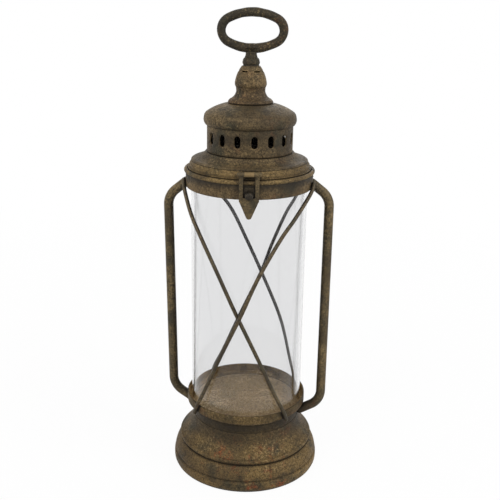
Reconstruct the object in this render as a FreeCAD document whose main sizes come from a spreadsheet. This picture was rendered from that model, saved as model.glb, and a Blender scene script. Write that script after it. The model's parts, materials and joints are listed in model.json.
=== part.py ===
# Punched tin lantern with a hinged lid, a glass chimney, side tubes and guard wires.
# Millimetres, +Z up, origin on the floor under the middle of the foot, latch towards -Y.
import FreeCAD, Part
import math
import os
import re

import Sketcher

# Driving dimensions, in millimetres unless the name says degrees or share.
SIZES = {
    "sheet_wall": 1.0, "touch_gap": 0.3, "running_gap": 0.05, "cut_overrun": 2.0,
    "collar_radius": 59.0, "collar_height": 13.0, "collar_grip": 11.3, "collar_flange_gap": 0.45,
    "glass_inset": 4.75, "glass_wall": 2.4, "glass_length": 231.5, "rim_wire_radius": 2.0,
    "foot_spread": 6.1, "foot_wall": 1.4, "foot_roll_radius": 3.0, "rest_width": 3.0,
    "foot_height": 27.0, "foot_shoulder_inset": 6.0, "foot_shoulder_start": 13.5, "foot_shoulder_bow": 60.0,
    "foot_shoulder_step": 1.0,
    "groove_height": 11.5, "groove_half_height": 1.2, "groove_depth": 1.0, "groove_bow_share": 1.6,
    "flare_spread": 13.7, "edge_lip_gap": 1.0, "edge_band_height": 1.4, "edge_roll_height": 1.6,
    "edge_band_step": 2.2, "edge_roll_bow": 2.6, "foot_flange_inset": 6.2,
    "flare_bow": 31.0, "flare_height": 25.0, "flare_flange_width": 4.0, "neck_step": 0.4,
    "cup_inset": 0.35, "bowl_spread": 6.15, "gallery_height": 21.5, "band_height": 8.5, "band_step": 1.6,
    "bowl_bow": 30.0, "bowl_floor_width": 10.5,
    "plate_drop": 1.0, "plate_wall": 1.2, "plate_gap": 0.8, "plate_skirt_inset": 3.0,
    "plate_dish_depth": 0.5, "plate_dish_gap": 1.35,
    "lid_rim_inset": 1.8, "lid_rim_height": 4.2, "lid_rim_round": 1.0, "lid_band_inset": 1.5,
    "lip_gap": 1.8, "lip_depth": 5.0,
    "step_inset": 2.6, "step_height": 2.5, "step_lean": 0.5, "step_round": 0.8, "step_wall": 1.5,
    "skirt_inset": 0.9, "skirt_mid_inset": 3.8, "skirt_mid_rise": 2.0, "skirt_height": 8.0,
    "skirt_edge_bow": 6.0,
    "skirt_bow": 14.0, "skirt_top_spread": 1.3, "skirt_flange_width": 2.2,
    "vent_inset": 10.5, "vent_height": 25.0, "slot_width": 5.8, "slot_height": 10.6, "slot_rise": 14.0,
    "dome_overhang": 2.0, "dome_side_bow": 8.9, "dome_shoulder_inset": 2.7,
    "dome_shoulder_rise": 11.7, "dome_crown_bow": 50.0, "dome_height": 20.0, "dome_hole_gap": 0.4,
    "dome_flange_width": 3.6, "dome_inset_share": 0.6, "dome_drop_share": 0.8,
    "neck_flange_radius": 20.4, "neck_flange_height": 1.5, "finial_neck_radius": 13.1,
    "finial_neck_height": 14.0,
    "neck_collar_height": 3.0, "neck_flare_bow": 9.0, "finial_wall": 1.2,
    "hood_radius": 14.4, "hood_height": 18.6, "hood_widest_share": 0.2, "hood_top_radius": 8.3,
    "hood_bow": 30.0, "hood_edge_bow": 6.0, "hood_foot_inset": 1.0, "hood_wall_share": 0.7, "hood_lip": 0.5,
    "slit_width": 5.6, "slit_height": 1.3, "slit_rise": 14.2,
    "knob_radius": 7.7, "knob_height": 7.4, "knob_bow_share": 1.2,
    "stem_radius": 5.1, "rod_radius": 2.5, "rod_length": 52.0,
    "ring_half_width": 27.6, "ring_half_height": 15.45, "ring_end_radius": 11.5,
    "ring_section_radius": 3.95,
    "ring_side_shift": 0.9, "stem_length": 7.85, "washer_radius": 8.0, "washer_thickness": 1.2,
    "nut_across_flats": 8.0, "nut_height": 4.0,
    "tube_radius": 4.5, "tube_stand": 16.5, "tube_bend_radius": 13.0, "tube_top_rise": 2.6,
    "tube_top_drop": 13.5, "tube_foot_lift": 6.8, "tube_foot_rise": 10.4, "tube_core_gap": 0.5,
    "wire_radius": 1.8, "wire_ride_gap": 1.6, "wire_top_lift": 5.8, "wire_cross_gap": 0.5,
    "wire_bend_share": 0.45,
    "knuckle_radius": 2.6, "hinge_pin_radius": 1.2, "hinge_head_radius": 2.0, "hinge_head_length": 1.0,
    "hinge_width": 24.0, "hinge_middle_width": 7.6, "leaf_thickness": 1.4, "leaf_plate_height": 9.5,
    "leaf_rivet_radius": 1.7, "leaf_rivet_reach": 7.0, "leaf_rivet_height": 0.8,
    "hasp_width": 17.5, "hasp_thickness": 1.2, "hasp_window_width": 10.4, "hasp_tab_flare": 0.45,
    "hasp_tab_length": 16.4, "hasp_tip_half_width": 1.7, "hasp_tip_round": 1.0, "hasp_tip_bow_share": 1.05,
    "hasp_knuckle_radius": 2.1, "hasp_pin_radius": 1.0, "hasp_pin_lift": 1.5, "hasp_middle_width": 8.6,
    "hasp_room_share": 4.0, "bracket_thickness": 1.2, "bracket_plate_depth": 3.6, "bracket_width": 12.0,
    "latch_width": 9.2, "latch_plate_thickness": 0.9, "latch_plate_height": 11.0,
    "stud_radius": 1.9, "stud_head_radius": 3.7, "stud_neck_length": 3.2, "stud_rise": 5.0,
    "stud_sink_share": 0.8,
}
SLOT_COUNT = 16
SLIT_COUNT = 6
# Degrees about the axis, measured from the front towards +X.
SLOT_PHASE = 6.0
CAGE_TOP_TURN = 0.0
CAGE_FOOT_TURN = -11.0
# Stations of a guard wire, from its top end to its foot, as shares of its height.
STATION_HEIGHT_SHARES = (1.0, 0.965, 0.88, 0.8, 0.65, 0.5, 0.3, 0.13, 0.045, 0.0)
# How far out each station lies: 0 rides on the glass, 1 on the outside of the collar or the cup.
STATION_SPREAD_SHARES = (1.0, 1.0, 0.35, 0.0, 0.0, 0.0, 0.0, 0.1, 1.0, 1.0)
# How far the outer wire of a crossing pair is lifted over the inner one, as shares of that lift.
STATION_LIFT_SHARES = (0.0, 0.0, 0.0, 0.0, 0.5, 1.0, 0.25, 0.0, 0.0, 0.0)
WIRE_TURNS = {
    "guard_wire_front_left": (-84, -77, -64, -49, -27, -10.5, 10.5, 27.5, 36, 40),
    "guard_wire_front_right": (75, 66, 44.5, 29, 8.5, -5.2, -24.5, -42, -50, -54.5),
    "guard_wire_back_left": (244, 236, 211, 197, 180.5, 164.5, 141.5, 126, 120, 117),
    "guard_wire_back_right": (104, 112, 127, 139, 155, 167, 187, 205.5, 215.5, 219),
}
LIFTED_WIRES = ("guard_wire_front_right", "guard_wire_back_right")

doc = FreeCAD.newDocument("lantern")
sheet = doc.addObject("Spreadsheet::Sheet", "sizes")
for row, (alias, value) in enumerate(SIZES.items(), start=1):
    sheet.set("A%d" % row, alias)
    sheet.set("B%d" % row, str(value))
    sheet.setAlias("B%d" % row, alias)
doc.recompute()
nodes = []

# Formulas that the part is built from: each height is the top of the piece below it,
# and each radius is the radius of the piece that carries it plus or less a named step.
FORMULAS = {
    "gallery_radius": "collar_radius - cup_inset",
    "neck_radius": "gallery_radius - bowl_spread",
    "bowl_floor_radius": "neck_radius - bowl_floor_width",
    "edge_radius": "neck_radius + flare_spread",
    "foot_radius": "edge_radius + foot_spread",
    "foot_shoulder_radius": "foot_radius - foot_shoulder_inset",
    "foot_flange_radius": "edge_radius - foot_flange_inset",
    "glass_radius": "collar_radius - glass_inset",
    "plate_radius": "gallery_radius - band_step - sheet_wall - plate_gap",
    "plate_skirt_radius": "neck_radius - plate_skirt_inset",
    "plate_dish_radius": "glass_radius - glass_wall - plate_dish_gap",
    "lid_rim_radius": "collar_radius - lid_rim_inset",
    "lid_band_radius": "lid_rim_radius - lid_band_inset",
    "lip_radius": "collar_radius - sheet_wall - lip_gap",
    "step_radius": "lid_rim_radius - step_inset",
    "skirt_radius": "step_radius - skirt_inset",
    "skirt_mid_radius": "skirt_radius - skirt_mid_inset",
    "vent_radius": "skirt_mid_radius - vent_inset",
    "dome_seam_radius": "vent_radius + dome_overhang",
    "dome_shoulder_radius": "dome_seam_radius - dome_shoulder_inset",
    "tube_reach": "collar_radius + tube_stand",
    "foot_top": "foot_height",
    "edge_low": "foot_top + edge_lip_gap",
    "flare_top": "edge_low + flare_height",
    "gallery_top": "flare_top + gallery_height",
    "plate_top": "gallery_top - band_height - plate_drop",
    "glass_top": "plate_top + glass_length",
    "collar_lift": "glass_top - collar_grip",
    "rim_middle": "collar_lift + collar_height + rim_wire_radius",
    "lid_low": "rim_middle + rim_wire_radius + touch_gap",
    "step_low": "lid_low + lid_rim_height",
    "skirt_low": "step_low + step_height",
    "vent_low": "skirt_low + skirt_height",
    "dome_low": "vent_low + vent_height",
    "neck_low": "dome_low + dome_height - sheet_wall",
    "hood_low": "neck_low + finial_neck_height",
    "knob_low": "hood_low + hood_height",
    "stem_low": "knob_low + knob_height",
    "ring_middle": "stem_low + stem_length + ring_half_height",
    "hasp_pin_level": "step_low + hasp_pin_lift",
}


def words(text):
    """Turn the names in a formula into references to the sheet."""
    text = str(text)
    while any(mark in FORMULAS for mark in re.findall(r"[a-z_]+", text)):
        text = re.sub(r"[a-z_]+",
                      lambda m: "(%s)" % FORMULAS[m.group()] if m.group() in FORMULAS else m.group(),
                      text)
    return re.sub(r"[a-z_]+", lambda m: "sizes." + m.group() if m.group() in SIZES else m.group(), text)


def size(text):
    """Value of a formula of named sizes, in millimetres."""
    return float(sheet.evalExpression(words(text)))


def kept(thing, name):
    """Label a finished sub-part with its own name and keep it for the export."""
    thing.Label = name
    nodes.append(thing)
    return thing


def body_plane(body, role):
    """One of the origin planes of a body."""
    return [feature for feature in body.Origin.OriginFeatures if feature.Role == role][0]


def draw_outline(sketch, corners):
    """Draw a closed outline whose corners and bows are bound to the sheet.

    Each corner is (across, up) or (across, up, bow, side): bow is the radius of the arc
    from this corner to the next, and side is +1 where the arc bends to the left of the way.
    """
    points = [FreeCAD.Vector(size(corner[0]), size(corner[1]), 0) for corner in corners]
    count = len(points)
    starts = []
    for index, corner in enumerate(corners):
        here, there = points[index], points[(index + 1) % count]
        if len(corner) == 2:
            sketch.addGeometry(Part.LineSegment(here, there), False)
            starts.append(1)
            continue
        way = there - here
        left = FreeCAD.Vector(-way.y, way.x, 0) / way.Length
        bow = size(corner[2])
        rise = bow - math.sqrt(bow ** 2 - (way.Length / 2) ** 2)
        arc = Part.Arc(here, here + way / 2 + left * corner[3] * rise, there).toShape().Curve
        turned = Part.ArcOfCircle(Part.Circle(arc.Center, FreeCAD.Vector(0, 0, 1), bow),
                                  *arc_angles(arc.Center, here, there, corner[3]))
        sketch.addGeometry(turned, False)
        starts.append(1 if corner[3] < 0 else 2)
    for index, corner in enumerate(corners):
        after = (index + 1) % count
        end = 3 - starts[index]
        sketch.addConstraint(Sketcher.Constraint("Coincident", index, end, after, starts[after]))
        for kind, value, formula in (("DistanceX", points[index].x, corner[0]),
                                     ("DistanceY", points[index].y, corner[1])):
            if formula == 0:
                axis = -2 if kind == "DistanceX" else -1
                sketch.addConstraint(Sketcher.Constraint("PointOnObject", index, starts[index], axis))
                continue
            place = sketch.addConstraint(Sketcher.Constraint(kind, -1, 1, index, starts[index], value))
            sketch.setExpression("Constraints[%d]" % place, words(formula))
        if len(corner) > 2:
            place = sketch.addConstraint(Sketcher.Constraint("Radius", index, size(corner[2])))
            sketch.setExpression("Constraints[%d]" % place, words(corner[2]))


def arc_angles(center, here, there, side):
    """Start and end angle of the arc, turning counter-clockwise as a sketch stores it."""
    first, last = (here, there) if side < 0 else (there, here)
    start = math.atan2(first.y - center.y, first.x - center.x)
    end = math.atan2(last.y - center.y, last.x - center.x)
    return start, end if end > start else end + 2 * math.pi


def turned_body(name, corners):
    """A body made by turning an outline of (radius, height) corners about the axis."""
    body = doc.addObject("PartDesign::Body", name)
    sketch = body.newObject("Sketcher::SketchObject", name + "_outline")
    sketch.AttachmentSupport = [(body_plane(body, "XZ_Plane"), "")]
    sketch.MapMode = "FlatFace"
    draw_outline(sketch, corners)
    turn = body.newObject("PartDesign::Revolution", name + "_turning")
    turn.Profile = sketch
    turn.ReferenceAxis = (sketch, ["V_Axis"])
    turn.Angle = 360
    return body


def place(thing, x=0, y=0, z=0):
    """Bind the place of a primitive to the sheet."""
    for axis, formula in (("x", x), ("y", y), ("z", z)):
        if formula != 0:
            thing.setExpression("Placement.Base." + axis, words(formula))


def block(name, across, deep, high, x, y, z):
    """A box whose middle across X is at x, with its low Y face at y and its foot at z."""
    box = doc.addObject("Part::Box", name)
    for prop, formula in (("Length", across), ("Width", deep), ("Height", high)):
        box.setExpression(prop, words(formula))
    place(box, "(%s) - (%s) / 2" % (x, across), y, z)
    return box


def bar(name, radius, length, x, y, z, way):
    """A round bar from (x, y, z) along +X, -Y or +Z."""
    rod = doc.addObject("Part::Cylinder", name)
    rod.setExpression("Radius", words(radius))
    rod.setExpression("Height", words(length))
    turns = {"+X": (FreeCAD.Vector(0, 1, 0), 90), "-Y": (FreeCAD.Vector(1, 0, 0), 90),
             "+Z": (FreeCAD.Vector(0, 0, 1), 0)}
    rod.Placement = FreeCAD.Placement(FreeCAD.Vector(), FreeCAD.Rotation(*turns[way]))
    place(rod, x, y, z)
    return rod


def joined(name, pieces):
    """The sum of several solids."""
    fuse = doc.addObject("Part::MultiFuse", name)
    fuse.Shapes = pieces
    return fuse


def without(name, base, tool):
    """One solid with another taken away."""
    cut = doc.addObject("Part::Cut", name)
    cut.Base = base
    cut.Tool = tool
    return cut


# Base: foot, bell cover, gallery cup and the inner tray.
groove_low = "groove_height - groove_half_height"
groove_top = "groove_height + groove_half_height"
kept(turned_body("base_foot", [
    ("foot_radius - foot_roll_radius - rest_width", 0),
    ("foot_radius - foot_roll_radius", 0, "foot_roll_radius", -1),
    ("foot_radius", "foot_roll_radius"),
    ("foot_radius", groove_low, "groove_half_height * groove_bow_share", 1),
    ("foot_radius - foot_shoulder_step", groove_top),
    ("foot_radius - foot_shoulder_step", "foot_shoulder_start", "foot_shoulder_bow", -1),
    ("foot_shoulder_radius", "foot_height"),
    ("foot_flange_radius", "foot_height"),
    ("foot_flange_radius", "foot_height - foot_wall"),
    ("foot_shoulder_radius - foot_wall", "foot_height - foot_wall", "foot_shoulder_bow", 1),
    ("foot_radius - foot_shoulder_step - foot_wall", "foot_shoulder_start"),
    ("foot_radius - foot_shoulder_step - foot_wall", groove_low),
    ("foot_radius - foot_wall", groove_low),
    ("foot_radius - foot_wall", "foot_roll_radius", "foot_roll_radius - foot_wall", 1),
    ("foot_radius - foot_roll_radius", "foot_wall"),
    ("foot_radius - foot_roll_radius - rest_width", "foot_wall"),
]), "base_foot")

edge_top = "edge_low + edge_band_height"
flare_foot = "edge_low + edge_band_height + edge_roll_height"
kept(turned_body("base_flare", [
    ("edge_radius", "edge_low"),
    ("edge_radius", edge_top, "edge_roll_bow", -1),
    ("edge_radius - edge_band_step", flare_foot, "flare_bow", 1),
    ("neck_radius + neck_step", "flare_top - neck_step"),
    ("neck_radius", "flare_top"),
    ("neck_radius - sheet_wall", "flare_top"),
    ("neck_radius + neck_step - sheet_wall", "flare_top - neck_step - sheet_wall / 2",
     "flare_bow + sheet_wall", -1),
    ("edge_radius - edge_band_step - sheet_wall", "edge_low + sheet_wall"),
    ("foot_flange_radius + sheet_wall", "edge_low + sheet_wall"),
    ("foot_flange_radius + sheet_wall", "foot_top"),
    ("foot_flange_radius + sheet_wall + flare_flange_width", "foot_top"),
    ("foot_flange_radius + sheet_wall + flare_flange_width", "edge_low"),
]), "base_flare")

band_low = "gallery_top - band_height"
kept(turned_body("gallery_cup", [
    ("bowl_floor_radius", "flare_top"),
    ("neck_radius", "flare_top", "bowl_bow", -1),
    ("gallery_radius - band_step", band_low),
    ("gallery_radius", "(%s) + band_step / 2" % band_low),
    ("gallery_radius", "gallery_top"),
    ("gallery_radius - sheet_wall", "gallery_top"),
    ("gallery_radius - sheet_wall", "(%s) + band_step" % band_low),
    ("gallery_radius - band_step - sheet_wall", "(%s) + band_step / 2" % band_low,
     "bowl_bow - sheet_wall", 1),
    ("neck_radius - sheet_wall", "flare_top + sheet_wall"),
    ("bowl_floor_radius", "flare_top + sheet_wall"),
]), "gallery_cup")

dish_top = "plate_top - plate_dish_depth"
kept(turned_body("candle_plate", [
    (0, "%s - plate_wall" % dish_top),
    ("plate_skirt_radius - plate_wall", "%s - plate_wall" % dish_top),
    ("plate_skirt_radius - plate_wall", "flare_top + sheet_wall"),
    ("plate_skirt_radius", "flare_top + sheet_wall"),
    ("plate_skirt_radius", "plate_top - plate_wall"),
    ("plate_radius", "plate_top - plate_wall"),
    ("plate_radius", "plate_top"),
    ("plate_dish_radius", "plate_top"),
    ("plate_dish_radius", dish_top),
    (0, dish_top),
]), "candle_plate")

# Glass tube, the ring above it and the rolled wire on that ring.
kept(turned_body("glass_chimney", [
    ("glass_radius - glass_wall", "plate_top"),
    ("glass_radius", "plate_top"),
    ("glass_radius", "glass_top"),
    ("glass_radius - glass_wall", "glass_top"),
]), "glass_chimney")

kept(turned_body("upper_collar", [
    ("glass_radius + collar_flange_gap", "collar_lift"),
    ("collar_radius", "collar_lift"),
    ("collar_radius", "collar_lift + collar_height"),
    ("collar_radius - sheet_wall", "collar_lift + collar_height"),
    ("collar_radius - sheet_wall", "collar_lift + sheet_wall"),
    ("glass_radius + collar_flange_gap", "collar_lift + sheet_wall"),
]), "upper_collar")

rim = doc.addObject("Part::Torus", "rim_wire")
rim.setExpression("Radius1", words("collar_radius - sheet_wall / 2"))
rim.setExpression("Radius2", words("rim_wire_radius"))
place(rim, 0, 0, "rim_middle")
kept(rim, "collar_wire_rim")

# Lid: rim with its lip, roof skirt, punched band, dome.
kept(turned_body("lid_rim", [
    ("lid_rim_radius", "lid_low"),
    ("lid_rim_radius", "lid_low + sheet_wall"),
    ("lid_band_radius", "lid_low + sheet_wall"),
    ("lid_band_radius", "step_low - lid_rim_round / 2"),
    ("lid_band_radius - lid_rim_round / 2", "step_low"),
    ("step_radius", "step_low"),
    ("step_radius - step_lean", "skirt_low - step_round", "step_round", 1),
    ("step_radius - step_lean - step_round", "skirt_low"),
    ("step_radius - step_lean - step_round - step_wall", "skirt_low"),
    ("step_radius - step_wall", "step_low - sheet_wall"),
    ("lip_radius - sheet_wall", "step_low - sheet_wall"),
    ("lip_radius - sheet_wall", "lid_low - lip_depth"),
    ("lip_radius", "lid_low - lip_depth"),
    ("lip_radius", "lid_low"),
]), "lid_rim")

skirt_top_radius = "vent_radius + skirt_top_spread"
skirt_mid = "skirt_low + skirt_mid_rise"
kept(turned_body("roof_skirt", [
    ("skirt_radius", "skirt_low", "skirt_edge_bow", -1),
    ("skirt_mid_radius", skirt_mid, "skirt_bow", 1),
    (skirt_top_radius, "vent_low"),
    ("vent_radius - skirt_flange_width", "vent_low"),
    ("vent_radius - skirt_flange_width", "vent_low - sheet_wall"),
    ("(%s) - sheet_wall / 2" % skirt_top_radius, "vent_low - sheet_wall", "skirt_bow + sheet_wall", -1),
    ("skirt_mid_radius - sheet_wall / 2", "(%s) - sheet_wall" % skirt_mid),
    ("skirt_radius - 2 * sheet_wall", "skirt_low"),
]), "roof_skirt")


def stadium(sketch, half_width, low, top):
    """Draw a slot with round ends across the front of a band."""
    reach, foot, head = size(half_width), size(low) + size(half_width), size(top) - size(half_width)
    up = FreeCAD.Vector(0, 0, 1)
    sketch.addGeometry(Part.LineSegment(FreeCAD.Vector(reach, foot, 0), FreeCAD.Vector(reach, head, 0)),
                       False)
    sketch.addGeometry(Part.ArcOfCircle(Part.Circle(FreeCAD.Vector(0, head, 0), up, reach), 0, math.pi),
                       False)
    sketch.addGeometry(Part.LineSegment(FreeCAD.Vector(-reach, head, 0), FreeCAD.Vector(-reach, foot, 0)),
                       False)
    sketch.addGeometry(Part.ArcOfCircle(Part.Circle(FreeCAD.Vector(0, foot, 0), up, reach), math.pi,
                                        2 * math.pi), False)
    for here in range(4):
        sketch.addConstraint(Sketcher.Constraint("Tangent", here, 2, (here + 1) % 4, 1))
    for arc, formula in ((1, "(%s) - (%s)" % (top, half_width)), (3, "(%s) + (%s)" % (low, half_width))):
        sketch.addConstraint(Sketcher.Constraint("PointOnObject", arc, 3, -2))
        rise = sketch.addConstraint(Sketcher.Constraint("DistanceY", -1, 1, arc, 3, size(formula)))
        sketch.setExpression("Constraints[%d]" % rise, words(formula))
    bow = sketch.addConstraint(Sketcher.Constraint("Radius", 1, reach))
    sketch.setExpression("Constraints[%d]" % bow, words(half_width))


vent = turned_body("vent_band", [
    ("vent_radius - sheet_wall", "vent_low"),
    ("vent_radius", "vent_low"),
    ("vent_radius", "dome_low"),
    ("vent_radius - sheet_wall", "dome_low"),
])
slot = vent.newObject("Sketcher::SketchObject", "vent_slot_outline")
slot.AttachmentSupport = [(body_plane(vent, "XZ_Plane"), "")]
slot.MapMode = "FlatFace"
stadium(slot, "slot_width / 2", "vent_low + slot_rise - slot_height / 2",
        "vent_low + slot_rise + slot_height / 2")
punch = vent.newObject("PartDesign::Pocket", "vent_slot")
punch.Profile = slot
punch.Type = 1
punch.Midplane = True
doc.recompute()
row_of_slots = vent.newObject("PartDesign::PolarPattern", "vent_slots")
row_of_slots.Originals = [punch]
row_of_slots.Axis = (body_plane(vent, "Z_Axis"), [""])
row_of_slots.Angle = 360
row_of_slots.Occurrences = SLOT_COUNT
vent.Tip = row_of_slots
vent.Placement = FreeCAD.Placement(FreeCAD.Vector(), FreeCAD.Rotation(FreeCAD.Vector(0, 0, 1), SLOT_PHASE))
kept(vent, "vent_band")

rod_hole = "rod_radius + dome_hole_gap"
crown_top = "dome_low + dome_height"
kept(turned_body("dome_cap", [
    ("dome_seam_radius - dome_flange_width", "dome_low"),
    ("dome_seam_radius", "dome_low", "dome_side_bow", -1),
    ("dome_shoulder_radius", "dome_low + dome_shoulder_rise", "dome_crown_bow", -1),
    ("neck_flange_radius - sheet_wall", "%s - sheet_wall" % crown_top),
    (rod_hole, "%s - sheet_wall" % crown_top),
    (rod_hole, "%s - 2 * sheet_wall" % crown_top),
    ("neck_flange_radius - sheet_wall", "%s - 2 * sheet_wall" % crown_top, "dome_crown_bow - sheet_wall",
     1),
    ("dome_shoulder_radius - sheet_wall * dome_inset_share",
     "dome_low + dome_shoulder_rise - sheet_wall * dome_drop_share",
     "dome_side_bow - sheet_wall", 1),
    ("dome_seam_radius - sheet_wall / 2", "dome_low + sheet_wall"),
    ("dome_seam_radius - dome_flange_width", "dome_low + sheet_wall"),
]), "dome_cap")

# Finial: neck with a bell flange, hood with slits, knob; all threaded on the rod of the ring handle.
kept(turned_body("finial_neck", [
    (rod_hole, "neck_low"),
    ("neck_flange_radius", "neck_low"),
    ("neck_flange_radius", "neck_low + neck_flange_height", "neck_flare_bow", 1),
    ("finial_neck_radius", "hood_low - neck_collar_height"),
    ("finial_neck_radius", "hood_low"),
    ("finial_neck_radius - finial_wall", "hood_low"),
    ("finial_neck_radius - finial_wall", "neck_low + finial_wall"),
    (rod_hole, "neck_low + finial_wall"),
]), "finial_neck")

hood_wide = "hood_low + hood_height * hood_widest_share"
hood_shell = turned_body("hood_shell", [
    (rod_hole, "hood_low"),
    ("hood_radius - hood_foot_inset", "hood_low", "hood_edge_bow", -1),
    ("hood_radius", hood_wide, "hood_bow", -1),
    ("hood_top_radius", "knob_low"),
    (rod_hole, "knob_low"),
    (rod_hole, "knob_low - finial_wall"),
    ("hood_top_radius - finial_wall * hood_wall_share", "knob_low - finial_wall",
     "hood_bow - finial_wall", 1),
    ("hood_radius - finial_wall", hood_wide),
    ("hood_radius - finial_wall - hood_lip", "hood_low + finial_wall"),
    (rod_hole, "hood_low + finial_wall"),
])
slits = []
for turn in range(SLIT_COUNT // 2):
    slit = doc.addObject("Part::Box", "hood_slit")
    for prop, formula in (("Length", "2 * hood_radius + cut_overrun"), ("Width", "slit_width"),
                          ("Height", "slit_height")):
        slit.setExpression(prop, words(formula))
    angle = math.radians(360 / SLIT_COUNT * turn)
    half_long, half_wide = "(hood_radius + cut_overrun / 2)", "(slit_width / 2)"
    slit.Placement = FreeCAD.Placement(FreeCAD.Vector(), FreeCAD.Rotation(FreeCAD.Vector(0, 0, 1),
                                                                          math.degrees(angle)))
    place(slit, "%s * (%.9f) + %s * (%.9f)" % (half_long, -math.cos(angle), half_wide, math.sin(angle)),
          "%s * (%.9f) + %s * (%.9f)" % (half_long, -math.sin(angle), half_wide, -math.cos(angle)),
          "hood_low + slit_rise - slit_height / 2")
    slits.append(slit)
core = bar("hood_core", "hood_top_radius - finial_wall", "slit_height + cut_overrun", 0, 0,
           "hood_low + slit_rise - slit_height / 2 - cut_overrun / 2", "+Z")
kept(without("hood_cut", hood_shell, without("slit_tool", joined("slit_bars", slits), core)), "finial_hood")

kept(turned_body("finial_knob", [
    (rod_hole, "knob_low"),
    ("knob_radius - hood_lip", "knob_low"),
    ("knob_radius", "knob_low + knob_height / 2", "knob_radius * knob_bow_share", -1),
    ("stem_radius + hood_lip", "stem_low"),
    (rod_hole, "stem_low"),
]), "finial_knob")


def finished(name, shape):
    """Keep a shape that is made by code, as a feature of its own."""
    feature = doc.addObject("Part::Feature", name)
    feature.Shape = shape
    return kept(feature, name)


def ring_shape():
    """Oval ring of round section, on four arcs that meet in line, with its stem and rod."""
    half_wide, half_high = size("ring_half_width"), size("ring_half_height")
    end_bow, middle = size("ring_end_radius"), size("ring_middle")
    shift = size("ring_side_shift")
    run = half_wide - end_bow
    flat_bow = (run ** 2 + half_high ** 2 - end_bow ** 2) / (2 * (half_high - end_bow))
    lean = math.atan2(flat_bow - half_high, run)
    wires = []
    for side in (1, -1):
        end_center = FreeCAD.Vector(shift + side * run, 0, middle)
        wires.append((end_center, end_bow, (-lean, lean) if side > 0 else (math.pi - lean, math.pi + lean)))
        flat_center = FreeCAD.Vector(shift, 0, middle - side * (flat_bow - half_high))
        start = lean if side > 0 else math.pi + lean
        wires.append((flat_center, flat_bow, (start, start + math.pi - 2 * lean)))
    edges = []
    for center, bow, (first, last) in wires:
        points = [center + FreeCAD.Vector(bow * math.cos(a), 0, bow * math.sin(a)) for a in (first,
                  (first + last) / 2, last)]
        edges.append(Part.Arc(*points).toShape())
    path = Part.Wire(Part.__sortEdges__(edges))
    begin = path.OrderedEdges[0]
    at, way = begin.valueAt(begin.FirstParameter), begin.tangentAt(begin.FirstParameter)
    section = Part.Wire(Part.Circle(at, way, size("ring_section_radius")).toShape())
    ring = path.makePipeShell([section], True, False)
    low = size("ring_middle - ring_half_height")
    foot = size("stem_low")
    stem = Part.makeCone(size("stem_radius + hood_lip"), size("stem_radius - hood_lip"), low - foot,
                         FreeCAD.Vector(0, 0, foot))
    rod_foot = size("neck_low + finial_wall - rod_length + finial_neck_height + hood_height")
    rod = Part.makeCylinder(size("rod_radius"), foot - rod_foot, FreeCAD.Vector(0, 0, rod_foot))
    return ring.fuse([stem, rod]).removeSplitter()


finished("ring_handle", ring_shape())

washer_low = "dome_low + dome_height - 2 * sheet_wall - washer_thickness"
washer_blank = bar("washer_blank", "washer_radius", "washer_thickness", 0, 0, washer_low, "+Z")
washer_hole = bar("washer_hole", "rod_radius + running_gap", "washer_thickness + cut_overrun", 0, 0,
                  "%s - cut_overrun / 2" % washer_low, "+Z")
kept(without("washer_cut", washer_blank, washer_hole), "handle_washer")

nut = doc.addObject("Part::Prism", "nut_blank")
nut.Polygon = 6
nut.setExpression("Circumradius", words("nut_across_flats") + " / sqrt(3)")
nut.setExpression("Height", words("nut_height"))
place(nut, 0, 0, "%s - nut_height" % washer_low)
nut_hole = bar("nut_hole", "rod_radius", "nut_height + cut_overrun", 0, 0,
               "%s - nut_height - cut_overrun / 2" % washer_low, "+Z")
kept(without("nut_cut", nut, nut_hole), "handle_nut")


def rounded_path(points, bows):
    """Straight runs joined by arcs that meet them in line."""
    edges = []
    here = points[0]
    for index in range(1, len(points) - 1):
        before, corner, after = points[index - 1], points[index], points[index + 1]
        back = (before - corner).normalize()
        ahead = (after - corner).normalize()
        half_turn = (math.pi - back.getAngle(ahead)) / 2
        reach = bows[index - 1] * math.tan(half_turn)
        start, end = corner + back * reach, corner + ahead * reach
        inward = (back + ahead).normalize()
        middle = corner + inward * bows[index - 1] * (1 / math.cos(half_turn) - 1)
        edges.append(Part.LineSegment(here, start).toShape())
        edges.append(Part.Arc(start, middle, end).toShape())
        here = end
    edges.append(Part.LineSegment(here, points[-1]).toShape())
    return Part.Wire(edges)


def round_tube(path, radius):
    """A solid round bar along a path."""
    first = path.OrderedEdges[0]
    section = Part.Wire(Part.Circle(first.Vertexes[0].Point, first.tangentAt(first.FirstParameter),
                                    radius).toShape())
    solid = path.makePipeShell([section], True, False)
    print("bar volume over section times length: %.4f"
          % (solid.Volume / (math.pi * radius ** 2 * path.Length)))
    return solid


def around(radius, degrees, height):
    """A point on a circle about the axis, counted from the front towards +X."""
    angle = math.radians(degrees)
    return FreeCAD.Vector(radius * math.sin(angle), -radius * math.cos(angle), height)


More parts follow.
